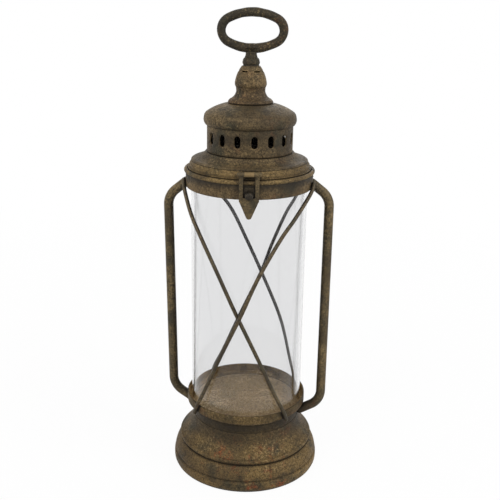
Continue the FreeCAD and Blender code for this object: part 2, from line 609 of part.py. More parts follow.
def side_tube(turn):
    """One bent side tube from the wall of the collar down to the wall of the cup."""
    top_turn, foot_turn = turn + CAGE_TOP_TURN, turn + CAGE_FOOT_TURN
    reach, inner = size("tube_reach"), size("collar_radius - sheet_wall")
    top = size("collar_lift + tube_top_rise")
    foot = size("flare_top + tube_foot_lift")
    points = [
        around(inner, top_turn, top),
        around(reach, top_turn, top - size("tube_top_drop")),
        around(reach, foot_turn, foot + size("tube_foot_rise")),
        around(size("neck_radius"), foot_turn, foot - size("tube_foot_lift") / 2),
    ]
    tube = round_tube(rounded_path(points, [size("tube_bend_radius")] * 2), size("tube_radius"))
    collar_core = Part.makeCylinder(size("collar_radius"), size("2 * collar_height"),
                                    FreeCAD.Vector(0, 0, size("collar_lift - collar_height / 2")))
    cup = doc.getObject("gallery_cup").Shape
    core = Part.makeCylinder(size("neck_radius + tube_core_gap"), size("gallery_height"),
                             FreeCAD.Vector(0, 0, size("flare_top")))
    return tube.cut(collar_core).cut(core).cut(cup).Solids[0]


doc.recompute()
finished("side_tube_left", side_tube(-90))
finished("side_tube_right", side_tube(90))


def guard_wire(name):
    """A guard wire that winds part of the way round the glass, from the collar to the cup."""
    ride = size("glass_radius + wire_radius + wire_ride_gap")
    out = size("collar_radius + wire_radius + running_gap")
    lift = size("2 * wire_radius + wire_cross_gap") if name in LIFTED_WIRES else 0
    foot = size("flare_top + gallery_height - band_height")
    top = size("collar_lift + wire_top_lift")
    points = []
    for turn, height, spread, raised in zip(WIRE_TURNS[name], STATION_HEIGHT_SHARES,
                                            STATION_SPREAD_SHARES, STATION_LIFT_SHARES):
        points.append(around(ride + (out - ride) * spread + lift * raised, turn,
                             foot + (top - foot) * height))
    bows = []
    for before, corner, after in zip(points, points[1:], points[2:]):
        half_turn = (math.pi - (before - corner).getAngle(after - corner)) / 2
        bows.append(size("wire_bend_share") * min((corner - before).Length,
                                                  (after - corner).Length) / math.tan(half_turn))
    return round_tube(rounded_path(points, bows), size("wire_radius"))


for wire_name in WIRE_TURNS:
    finished(wire_name, guard_wire(wire_name))

# Lid hinge at the back: two leaves, their rivets and the pin.
pin_reach = "collar_radius - sheet_wall / 2 + rim_wire_radius + touch_gap * 2 + knuckle_radius"
side_width = "(hinge_width - hinge_middle_width) / 2 - touch_gap"
ledge_depth = "(%s) - collar_radius + leaf_thickness / 2" % pin_reach
knuckles, ledges, bores = [], [], []
for side in (-1, 1):
    start = "-hinge_width / 2" if side < 0 else "hinge_middle_width / 2 + touch_gap"
    knuckles.append(bar("collar_knuckle", "knuckle_radius", side_width, start, pin_reach, "rim_middle",
                        "+X"))
    ledges.append(block("collar_ledge", side_width, ledge_depth, "leaf_thickness",
                        "(%s) + (%s) / 2" % (start, side_width), "collar_radius",
                        "rim_middle - rim_wire_radius - touch_gap - leaf_thickness"))
plate_low = "rim_middle - rim_wire_radius - touch_gap - leaf_plate_height"
back_plate = block("collar_leaf_plate", "hinge_width", "leaf_thickness * 2", "leaf_plate_height", 0,
                   "collar_radius - leaf_thickness", plate_low)
wall_core = bar("collar_wall_core", "collar_radius", "leaf_plate_height * 2", 0, 0,
                "%s - leaf_thickness" % plate_low, "+Z")
pin_bore = bar("fixed_pin_bore", "hinge_pin_radius", "hinge_width + cut_overrun",
               "-hinge_width / 2 - cut_overrun / 2",
               pin_reach, "rim_middle", "+X")
leaf_blank = joined("collar_leaf_blank", knuckles + ledges + [back_plate])
leaf_bored = without("collar_leaf_bored", leaf_blank, pin_bore)
kept(without("collar_leaf", leaf_bored, wall_core), "hinge_leaf_collar")

rivets = []
for side in (-1, 1):
    rivets.append(bar("leaf_rivet", "leaf_rivet_radius", "leaf_rivet_height",
                      "leaf_rivet_reach * (%d)" % side,
                      "collar_radius + leaf_thickness + leaf_rivet_height",
                      "%s + leaf_plate_height / 2 - leaf_thickness / 2" % plate_low, "-Y"))
kept(joined("leaf_rivets", rivets), "hinge_rivets")

pin_shank = bar("hinge_pin_shank", "hinge_pin_radius", "hinge_width + 2 * hinge_head_length",
                "-hinge_width / 2 - hinge_head_length",
                pin_reach, "rim_middle", "+X")
pin_heads = [bar("hinge_pin_head", "hinge_head_radius", "hinge_head_length", start, pin_reach,
                 "rim_middle", "+X")
             for start in ("-hinge_width / 2 - hinge_head_length", "hinge_width / 2")]
kept(joined("hinge_pin_solid", [pin_shank] + pin_heads), "hinge_pin")

lid_knuckle = bar("lid_knuckle", "knuckle_radius", "hinge_middle_width", "-hinge_middle_width / 2",
                  pin_reach, "rim_middle", "+X")
lid_ledge = block("lid_ledge", "hinge_middle_width",
                  "(%s) - lid_rim_radius + leaf_thickness * 2" % pin_reach, "leaf_thickness",
                  0, "lid_rim_radius - leaf_thickness", "lid_low")
lid_plate = block("lid_leaf_plate", "hinge_width", "leaf_thickness * 2", "lid_rim_height - lid_rim_round",
                  0,
                  "lid_rim_radius - leaf_thickness", "lid_low")
lid_core = bar("lid_wall_core", "lid_rim_radius", "lid_rim_height * 2", 0, 0,
               "lid_low - lid_rim_height / 2", "+Z")
lid_bore = bar("lid_pin_bore", "hinge_pin_radius + running_gap", "hinge_middle_width + cut_overrun",
               "-hinge_middle_width / 2 - cut_overrun / 2", pin_reach, "rim_middle", "+X")
lid_leaf_blank = joined("lid_leaf_blank", [lid_knuckle, lid_ledge, lid_plate])
kept(without("lid_leaf", without("lid_leaf_bored", lid_leaf_blank, lid_bore), lid_core), "hinge_leaf_lid")

# Hasp at the front: bracket and pin on the lid, strap with a window and a pointed tab,
# plate and stud on the collar.
hasp_back = "collar_radius - sheet_wall / 2 + rim_wire_radius + touch_gap * 1.5"
hasp_reach = "(%s) + hasp_thickness / 2" % hasp_back
bracket_knuckle = bar("bracket_knuckle", "hasp_knuckle_radius", "hasp_middle_width",
                      "-hasp_middle_width / 2",
                      "-(%s)" % hasp_reach, "hasp_pin_level", "+X")
bracket_web = block("bracket_web", "hasp_middle_width", "(%s) - step_radius" % hasp_reach,
                    "bracket_thickness", 0,
                    "-(%s)" % hasp_reach, "hasp_pin_level - bracket_thickness / 2")
bracket_plate = block("bracket_plate", "bracket_width", "bracket_plate_depth", "step_height - step_round",
                      0,
                      "-step_radius - bracket_thickness", "step_low")
step_core = bar("step_core", "step_radius", "step_height * 2", 0, 0, "step_low - step_height / 2", "+Z")
bracket_bore = bar("bracket_bore", "hasp_pin_radius", "hasp_middle_width + cut_overrun",
                   "-hasp_middle_width / 2 - cut_overrun / 2", "-(%s)" % hasp_reach, "hasp_pin_level", "+X")
bracket_blank = joined("bracket_blank", [bracket_knuckle, bracket_web, bracket_plate])
kept(without("bracket", without("bracket_bored", bracket_blank, bracket_bore), step_core), "hasp_bracket")
kept(bar("hasp_pin_solid", "hasp_pin_radius", "hasp_width", "-hasp_width / 2", "-(%s)" % hasp_reach,
         "hasp_pin_level", "+X"),
     "hasp_pin")

strap = doc.addObject("PartDesign::Body", "hasp_strap")
strap_outline = strap.newObject("Sketcher::SketchObject", "hasp_outline")
strap_outline.AttachmentSupport = [(body_plane(strap, "XZ_Plane"), "")]
strap_outline.MapMode = "FlatFace"
tab_top = "collar_lift"
tip_low = "collar_lift - hasp_tab_length"
draw_outline(strap_outline, [
    ("hasp_width / 2", "hasp_pin_level"),
    ("-hasp_width / 2", "hasp_pin_level"),
    ("-hasp_width / 2", "%s + hasp_tab_flare" % tab_top),
    ("-hasp_width / 2 - hasp_tab_flare", tab_top),
    ("-hasp_tip_half_width", "%s + hasp_tip_round" % tip_low, "hasp_tip_half_width * hasp_tip_bow_share",
     -1),
    ("hasp_tip_half_width", "%s + hasp_tip_round" % tip_low),
    ("hasp_width / 2 + hasp_tab_flare", tab_top),
    ("hasp_width / 2", "%s + hasp_tab_flare" % tab_top),
])
strap_pad = strap.newObject("PartDesign::Pad", "hasp_thick")
strap_pad.Profile = strap_outline
strap_pad.setExpression("Length", words("hasp_thickness"))
strap_pad.Midplane = True
strap.setExpression("Placement.Base.y", words("-(%s)" % hasp_reach))
window_low = "collar_lift + touch_gap"
window = block("hasp_window", "hasp_window_width", "hasp_thickness + cut_overrun",
               "hasp_pin_level - collar_lift",
               0, "-(%s) - hasp_thickness / 2 - cut_overrun / 2" % hasp_reach, window_low)
hasp_knuckles = []
for side in (-1, 1):
    start = "-hasp_width / 2" if side < 0 else "hasp_middle_width / 2 + touch_gap"
    hasp_knuckles.append(bar("hasp_knuckle", "hasp_knuckle_radius",
                             "(hasp_width - hasp_middle_width) / 2 - touch_gap",
                             start, "-(%s)" % hasp_reach, "hasp_pin_level", "+X"))
middle_room = block("hasp_middle_room", "hasp_middle_width + 2 * touch_gap",
                    "hasp_knuckle_radius * hasp_room_share", "hasp_knuckle_radius * hasp_room_share", 0,
                    "-(%s) - hasp_knuckle_radius * hasp_room_share / 2" % hasp_reach,
                    "hasp_pin_level - hasp_knuckle_radius * hasp_room_share / 2")
hasp_bore = bar("hasp_bore", "hasp_pin_radius + running_gap", "hasp_width + cut_overrun",
                "-hasp_width / 2 - cut_overrun / 2",
                "-(%s)" % hasp_reach, "hasp_pin_level", "+X")
hasp_solid = joined("hasp_solid", [strap] + hasp_knuckles)
hasp_tools = joined("hasp_tools", [window, middle_room, hasp_bore])
kept(without("hasp", hasp_solid, hasp_tools), "hasp_plate")

stud_level = "collar_lift + stud_rise"
latch_back = block("latch_back", "latch_width", "latch_plate_thickness * 2", "latch_plate_height", 0,
                   "-collar_radius - latch_plate_thickness", "collar_lift + touch_gap")
latch_core = bar("latch_wall_core", "collar_radius", "collar_height * 2", 0, 0,
                 "collar_lift - collar_height / 2", "+Z")
kept(without("latch", latch_back, latch_core), "latch_plate")
stud_neck = bar("stud_neck", "stud_radius", "stud_neck_length + stud_head_radius", 0,
                "-collar_radius - latch_plate_thickness", stud_level, "-Y")
stud_head = doc.addObject("Part::Sphere", "stud_head")
stud_head.setExpression("Radius", words("stud_head_radius"))
place(stud_head, 0,
      "-(%s) - hasp_thickness / 2 - touch_gap - stud_head_radius * stud_sink_share" % hasp_reach, stud_level)
kept(joined("stud_solid", [stud_neck, stud_head]), "latch_stud")

doc.recompute()
for thing in doc.Objects:
    if "Invalid" in thing.State or "Error" in thing.State:
        raise ValueError("%s did not recompute: %s" % (thing.Label, thing.State))
for node in nodes:
    if node.Shape.isNull() or not node.Shape.isValid() or not node.Shape.Solids:
        raise ValueError("%s has no valid solid" % node.Label)
os.makedirs("parts", exist_ok=True)
for node in nodes:
    node.Shape.exportStep("parts/%s.step" % node.Label)
    print("%-26s solids %d volume %9.1f  %s" % (node.Label, len(node.Shape.Solids), node.Shape.Volume,
                                                node.Shape.BoundBox))
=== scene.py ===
"""Looks of an aged tin lantern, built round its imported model."""

import json
import logging
import math
from dataclasses import dataclass
from enum import Enum
from typing import Sequence

import bmesh
import bpy
import numpy as np
from mathutils import Matrix, Vector

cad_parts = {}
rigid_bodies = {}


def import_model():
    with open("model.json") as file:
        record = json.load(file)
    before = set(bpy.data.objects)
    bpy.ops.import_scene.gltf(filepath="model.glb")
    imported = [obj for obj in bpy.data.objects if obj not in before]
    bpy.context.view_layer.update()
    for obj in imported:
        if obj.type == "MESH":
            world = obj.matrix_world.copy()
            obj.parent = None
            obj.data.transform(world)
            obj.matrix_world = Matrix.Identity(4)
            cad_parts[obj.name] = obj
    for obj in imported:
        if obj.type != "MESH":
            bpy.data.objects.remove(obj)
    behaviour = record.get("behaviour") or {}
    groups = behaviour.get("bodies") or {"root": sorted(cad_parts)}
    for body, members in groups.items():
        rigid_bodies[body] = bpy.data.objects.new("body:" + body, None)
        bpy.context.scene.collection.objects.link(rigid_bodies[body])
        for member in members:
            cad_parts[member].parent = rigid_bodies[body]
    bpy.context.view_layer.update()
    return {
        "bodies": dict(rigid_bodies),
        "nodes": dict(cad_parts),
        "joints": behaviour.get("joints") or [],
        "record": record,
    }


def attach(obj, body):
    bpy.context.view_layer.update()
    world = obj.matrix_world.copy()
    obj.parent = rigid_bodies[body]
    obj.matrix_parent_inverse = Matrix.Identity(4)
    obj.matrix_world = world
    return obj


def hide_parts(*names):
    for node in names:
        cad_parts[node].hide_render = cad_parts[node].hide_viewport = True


LOG = logging.getLogger("lantern")
MM = 0.001
TINY = 1e-6
FULL_TURN = 2 * math.pi
Color = tuple[float, float, float]
Corner = tuple[float, ...]
Span = tuple[float, float]
Shape = tuple[np.ndarray, np.ndarray]
Socket = bpy.types.NodeSocket

# Shares of a noise pattern's offset along X, Y and Z.
OFFSET_SHARES = (1.0, 0.7, 1.3)
# Radius of the small ring that stands for a pole on the axis, in millimetres.
POLE = 0.01
# Share of a corner's shorter neighbouring step that its curve cuts off, and the longest step that counts.
CORNER_SHARE = 0.35
CORNER_STEP = 1.4
# Waves of hand-spun sheet: count round the axis, twist in radians per millimetre of height, and share.
SPUN_WAVES = ((2, 0.0, 0.5), (3, 0.05, 0.3), (7, 0.11, 0.2))
# Radius in millimetres inside which those waves die out.
CALM_RADIUS = 10.0
# Rings in the half ball on an open end, and the share of a quarter turn that they reach.
END_RINGS = 4
END_SHARE = 0.97
# A path that starts with more of its way along Y than this takes its first section axis from X.
STEEP = 0.9
# Points on a bent bar's straight runs, and on its last run.
RUN_POINTS = 12
LAST_RUN_POINTS = 8
# A face looks inwards where its normal, taken along the way out from the axis, is under this.
INWARD_LIMIT = -0.25


class Slot(Enum):
    """Material slots of the record that the new pieces take their finish from."""

    TIN = "aged_tin"
    TRAY = "tray_patina"
    WIRE = "wire_patina"
    CASTING = "cast_iron_patina"
    DARK = "dark_iron"
    GLASS = "clear_glass"


class Body(Enum):
    """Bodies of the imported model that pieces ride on."""

    LANTERN = "lantern"
    LID = "lid"
    HASP = "hasp"


def srgb(red: int, green: int, blue: int) -> Color:
    """Linear colour of a display colour given from 0 to 255.

    Args:
        red: red value on screen.
        green: green value on screen.
        blue: blue value on screen.

    Returns:
        The three linear values.
    """
    values = np.array([red, green, blue]) / 255.0
    linear = np.where(values <= 0.04045, values / 12.92, ((values + 0.055) / 1.055) ** 2.4)
    return tuple(float(value) for value in linear)


@dataclass(frozen=True)
class Noise:
    """Noise pattern over an object's own place, with scale in waves per metre.

    detail is its number of octaves, roughness the strength of the higher ones, offset shifts it
    so that two patterns differ, and stretch is its scale along Z.
    """

    scale: float
    detail: float = 2.0
    roughness: float = 0.5
    offset: float = 0.0
    stretch: float = 1.0


class NodePainter:
    """Small helper that lays out the nodes of one material on Object coordinates."""

    def __init__(self, name: str) -> None:
        """Start an empty material with a Principled shader.

        Args:
            name: name of the new material.
        """
        self.material = bpy.data.materials.new(name)
        self.material.use_nodes = True
        self.nodes = self.material.node_tree.nodes
        self.links = self.material.node_tree.links
        self.shader = self.nodes["Principled BSDF"]
        self.place = self.nodes.new("ShaderNodeTexCoord").outputs["Object"]

    def noise(self, pattern: Noise) -> Socket:
        """Value of a noise pattern."""
        mapping = self.nodes.new("ShaderNodeMapping")
        mapping.inputs["Location"].default_value = [pattern.offset * share for share in OFFSET_SHARES]
        mapping.inputs["Scale"].default_value = (1.0, 1.0, pattern.stretch)
        texture = self.nodes.new("ShaderNodeTexNoise")
        texture.inputs["Scale"].default_value = pattern.scale
        texture.inputs["Detail"].default_value = pattern.detail
        texture.inputs["Roughness"].default_value = pattern.roughness
        self.links.new(self.place, mapping.inputs["Vector"])
        self.links.new(mapping.outputs["Vector"], texture.inputs["Vector"])
        return texture.outputs["Fac"]

    def openness(self, reach: float, local: bool) -> Socket:
        """How open the place is.

        Args:
            reach: how far other faces darken it, in metres.
            local: whether only faces of its own piece count.

        Returns:
            The socket of a value that is 1 in the open and goes towards 0 in a corner.
        """
        shade = self.nodes.new("ShaderNodeAmbientOcclusion")
        shade.inputs["Distance"].default_value = reach
        shade.samples = 6
        shade.only_local = local
        return shade.outputs["AO"]

    def height(self) -> Socket:
        """Height of the place over the floor, in metres."""
        split = self.nodes.new("ShaderNodeSeparateXYZ")
        self.links.new(self.place, split.inputs[0])
        return split.outputs["Z"]

    def edge(self) -> Socket:
        """Sharpness of the place: above one half on an outer edge."""
        return self.nodes.new("ShaderNodeNewGeometry").outputs["Pointiness"]

    def ramp(self, value: Socket, low: float, high: float) -> Socket:
        """Smooth step of a value from 0 at low to 1 at high."""
        node = self.nodes.new("ShaderNodeMapRange")
        node.interpolation_type = "SMOOTHSTEP"
        node.inputs["From Min"].default_value = low
        node.inputs["From Max"].default_value = high
        self.links.new(value, node.inputs["Value"])
        return node.outputs["Result"]

    def between(self, value: Socket, low: float, high: float) -> Socket:
        """A noise value, mostly from 0.3 to 0.7, spread over the range from low to high."""
        node = self.nodes.new("ShaderNodeMapRange")
        node.inputs["From Min"].default_value = 0.3
        node.inputs["From Max"].default_value = 0.7
        node.inputs["To Min"].default_value = low
        node.inputs["To Max"].default_value = high
        self.links.new(value, node.inputs["Value"])
        return node.outputs["Result"]

    def figure(self, operation: str, first: float | Socket, second: float | Socket) -> Socket:
        """One sum on values.

        Args:
            operation: name of the Math node's operation.
            first: left value, a number or a socket.
            second: right value, a number or a socket.

        Returns:
            The result's socket.
        """
        node = self.nodes.new("ShaderNodeMath")
        node.operation = operation
        for entry, value in zip(node.inputs, (first, second)):
            if isinstance(value, (int, float)):
                entry.default_value = value
            else:
                self.links.new(value, entry)
        return node.outputs[0]

    def scaled(self, value: Socket, share: float | Socket) -> Socket:
        """The value times a share, a number or a socket."""
        return self.figure("MULTIPLY", value, share)

    def added(self, first: Socket, second: float | Socket) -> Socket:
        """The sum of two values, the second a number or a socket."""
        return self.figure("ADD", first, second)

    def flipped(self, value: Socket) -> Socket:
        """One minus the value."""
        return self.figure("SUBTRACT", 1.0, value)

    def mix(self, amount: Socket, first: Color | Socket, second: Color | Socket) -> Socket:
        """Blend from the first colour to the second.

        Args:
            amount: 0 for the first colour and 1 for the second.
            first: colour or socket.
            second: colour or socket.

        Returns:
            The blended colour's socket.
        """
        node = self.nodes.new("ShaderNodeMix")
        node.data_type = "RGBA"
        self.links.new(amount, node.inputs[0])
        for socket, value in ((node.inputs[6], first), (node.inputs[7], second)):
            if isinstance(value, tuple):
                socket.default_value = (*value, 1.0)
            else:
                self.links.new(value, socket)
        return node.outputs[2]

    def layer(self, tone: Socket, color: Color, mask: Socket, share: float) -> Socket:
        """Lay a colour over a tone.

        Args:
            tone: colour so far.
            color: colour of the layer.
            mask: 1 where the layer lies and 0 where it doesn't.
            share: how much of the layer covers the tone where the mask is 1.

        Returns:
            The covered colour's socket.
        """
        return self.mix(self.scaled(mask, share), tone, color)

    def lead(self, name: str, value: Socket) -> None:
        """Lead a value or colour to one of the shader's sockets."""
        self.links.new(value, self.shader.inputs[name])

    def plain(self, name: str, value: float) -> None:
        """Set a plain number on one of the shader's own sockets."""
        self.shader.inputs[name].default_value = value

    def bump(self, height: Socket, depth: float) -> None:
        """Raise the surface by a height value times a depth in metres."""
        node = self.nodes.new("ShaderNodeBump")
        node.inputs["Distance"].default_value = depth
        node.inputs["Strength"].default_value = 1.0
        self.links.new(height, node.inputs["Height"])
        self.lead("Normal", node.outputs["Normal"])


@dataclass(frozen=True)
class Patina:
    """Aged finish in layers: brown clouds, moss, rust, soot, worn spots and edges, soot with painted shade in
    corners and recesses, and a dark band between two heights that is painted shade under overhangs on some
    pieces.

    A span is the pair of values between which a layer's mask goes from 0 to 1. Reaches, levels
    and depths are in metres.
    """

    name: str
    brown: Color = srgb(118, 97, 64)
    umber: Color = srgb(84, 68, 45)
    # Colour of soot, also laid on as painted shade in corners, in recesses and under overhangs.
    soot_and_shade: Color = srgb(32, 27, 19)
    worn: Color = srgb(152, 128, 88)
    rust: Color = srgb(130, 66, 30)
    moss: Color = srgb(50, 50, 36)
    cloud: Noise = Noise(22.0, detail=5.0, roughness=0.62)
    cloud_span: Span = (0.34, 0.64)
    moss_cloud: Noise = Noise(47.0, detail=4.0, offset=3.1)
    moss_span: Span = (0.50, 0.72)
    moss_amount: float = 0.8
    smear: Noise = Noise(60.0, detail=6.0, roughness=0.75, offset=2.2, stretch=2.2)
    smear_span: Span = (0.52, 0.72)
    soot_amount: float = 0.75
    speck: Noise = Noise(470.0, detail=4.0, roughness=0.75, offset=5.3)
    speck_span: Span = (0.50, 0.64)
    speck_amount: float = 0.60
    grain: Noise = Noise(1250.0, roughness=0.7)
    grain_span: Span = (0.46, 0.60)
    grain_amount: float = 0.7
    grain_depth: float = 0.25 * MM
    grain_relief: float = 0.5
    smear_relief: float = 1.4
    bright_speck_span: Span = (0.34, 0.46)
    bright_cloud_span: Span = (0.42, 0.60)
    bright_amount: float = 0.7
    edge_span: Span = (0.52, 0.60)
    edge_amount: float = 0.45
    rust_patch: Noise = Noise(16.0, detail=3.0, offset=9.4)
    rust_patch_span: Span = (0.48, 0.62)
    rust_spot: Noise = Noise(75.0, detail=6.0, roughness=0.8, offset=7.7)
    rust_spot_span: Span = (0.50, 0.74)
    rust_amount: float = 0.55
    rust_gain: float = 1.9
    rust_low: float = 30 * MM
    rust_level: float = 110 * MM
    rust_share_above: float = 0.25
    # Darkening of sheltered places and recesses by ambient occlusion: soot together with painted shade where
    # shade falls.
    shelter_reach: float = 34 * MM
    shelter_span: Span = (0.38, 0.86)
    shelter_dirt_and_shade: float = 0.75
    recess_reach: float = 7 * MM
    recess_span: Span = (0.30, 0.92)
    recess_dirt_and_shade: float = 0.92
    # Dark band between two heights in the soot colour: painted shade under overhangs on the foot, cover, cup
    # and collar.
    dark_band_low: float = 0.0
    dark_band_high: float = 0.0
    dark_band_amount: float = 0.0
    dark_band_waver: float = 4 * MM
    dark_band_rise: float = 9 * MM
    dark_band_fall: float = 2.5 * MM
    local: bool = False
    roughness: float = 0.62
    smoother: float = 0.12
    rougher: float = 0.18
    metallic: float = 0.35
    shine: float = 0.3

    def rusted(self, paint: NodePainter) -> Socket:
        """Mask of the rust: spots inside patches, and more of them low down."""
        patch = paint.ramp(paint.noise(self.rust_patch), *self.rust_patch_span)
        spot = paint.ramp(paint.noise(self.rust_spot), *self.rust_spot_span)
        low_down = paint.flipped(paint.ramp(paint.height(), self.rust_low, self.rust_level))
        share = paint.added(paint.scaled(low_down, 1 - self.rust_share_above), self.rust_share_above)
        return paint.scaled(paint.scaled(patch, spot), share)

    def dirt_and_shade_in_corners(self, paint: NodePainter, tone: Socket) -> Socket:
        """The tone with soot and painted shade in wide sheltered places and in narrow recesses, where shade
        falls.
        """
        for reach, span, amount in ((self.shelter_reach, self.shelter_span, self.shelter_dirt_and_shade),
                                    (self.recess_reach, self.recess_span, self.recess_dirt_and_shade)):
            mask = paint.flipped(paint.ramp(paint.openness(reach, self.local), *span))
            tone = paint.layer(tone, self.soot_and_shade, mask, amount)
        return tone

    def with_dark_band(self, paint: NodePainter, tone: Socket, smear: Socket) -> Socket:
        """The tone with a dark band of the soot colour between two heights, whose edges waver with the
        smears; on the foot, cover, cup and collar it is painted shade under an overhang.
        """
        level = paint.added(paint.height(), paint.scaled(smear, self.dark_band_waver))
        above = paint.ramp(level, self.dark_band_low, self.dark_band_low + self.dark_band_rise)
        below = paint.flipped(paint.ramp(level, self.dark_band_high, self.dark_band_high + self.dark_band_fall))
        return paint.layer(tone, self.soot_and_shade, paint.scaled(above, below), self.dark_band_amount)

    def build(self) -> bpy.types.Material:
        """Build the node material and return it."""
        paint = NodePainter(self.name)
        cloud, smear = paint.noise(self.cloud), paint.noise(self.smear)
        speck, grain = paint.noise(self.speck), paint.noise(self.grain)
        moss = paint.ramp(paint.noise(self.moss_cloud), *self.moss_span)
        tone = paint.mix(paint.ramp(cloud, *self.cloud_span), self.umber, self.brown)
        tone = paint.layer(tone, self.moss, moss, self.moss_amount)
        tone = paint.layer(tone, self.rust, self.rusted(paint), self.rust_amount * self.rust_gain)
        tone = paint.layer(tone, self.soot_and_shade, paint.ramp(smear, *self.smear_span), self.soot_amount)
        tone = paint.layer(tone, self.soot_and_shade, paint.ramp(speck, *self.speck_span), self.speck_amount)
        tone = paint.layer(tone, self.soot_and_shade, paint.ramp(grain, *self.grain_span), self.grain_amount)
        bright = paint.scaled(paint.flipped(paint.ramp(speck, *self.bright_speck_span)),
                              paint.ramp(cloud, *self.bright_cloud_span))
        tone = paint.layer(tone, self.worn, bright, self.bright_amount)
        tone = paint.layer(tone, self.worn, paint.ramp(paint.edge(), *self.edge_span), self.edge_amount)
        # Soot and painted shade in sheltered places and recesses.
        tone = self.dirt_and_shade_in_corners(paint, tone)
        # Dark band between two heights; on the foot, cover, cup and collar it is painted shade under an
        # overhang.
        if self.dark_band_amount:
            tone = self.with_dark_band(paint, tone, smear)
        paint.lead("Base Color", tone)
        rough_span = (self.roughness - self.smoother, self.roughness + self.rougher)
        paint.lead("Roughness", paint.between(speck, *rough_span))
        paint.plain("Metallic", self.metallic)
        paint.plain("Specular IOR Level", self.shine)
        relief = paint.added(speck, paint.scaled(smear, self.smear_relief))
        paint.bump(paint.added(paint.scaled(grain, self.grain_relief), relief), self.grain_depth)
        return paint.material


@dataclass(frozen=True)
class ClearGlass:
    """Clear drawn glass with a faint grey tint and very shallow upright waves."""

    name: str = "clear_glass_look"
    tint: Color = (0.866, 0.867, 0.871)
    index: float = 1.32
    wave: Noise = Noise(18.0, detail=1.0, stretch=0.06)
    wave_depth: float = 0.25 * MM

    def build(self) -> bpy.types.Material:
        """Build the glass material and return it."""
        paint = NodePainter(self.name)
        paint.shader.inputs["Base Color"].default_value = (*self.tint, 1.0)
        paint.plain("Transmission Weight", 1.0)
        paint.plain("Roughness", 0.0)
        paint.plain("IOR", self.index)
        paint.bump(paint.noise(self.wave), self.wave_depth)
        return paint.material


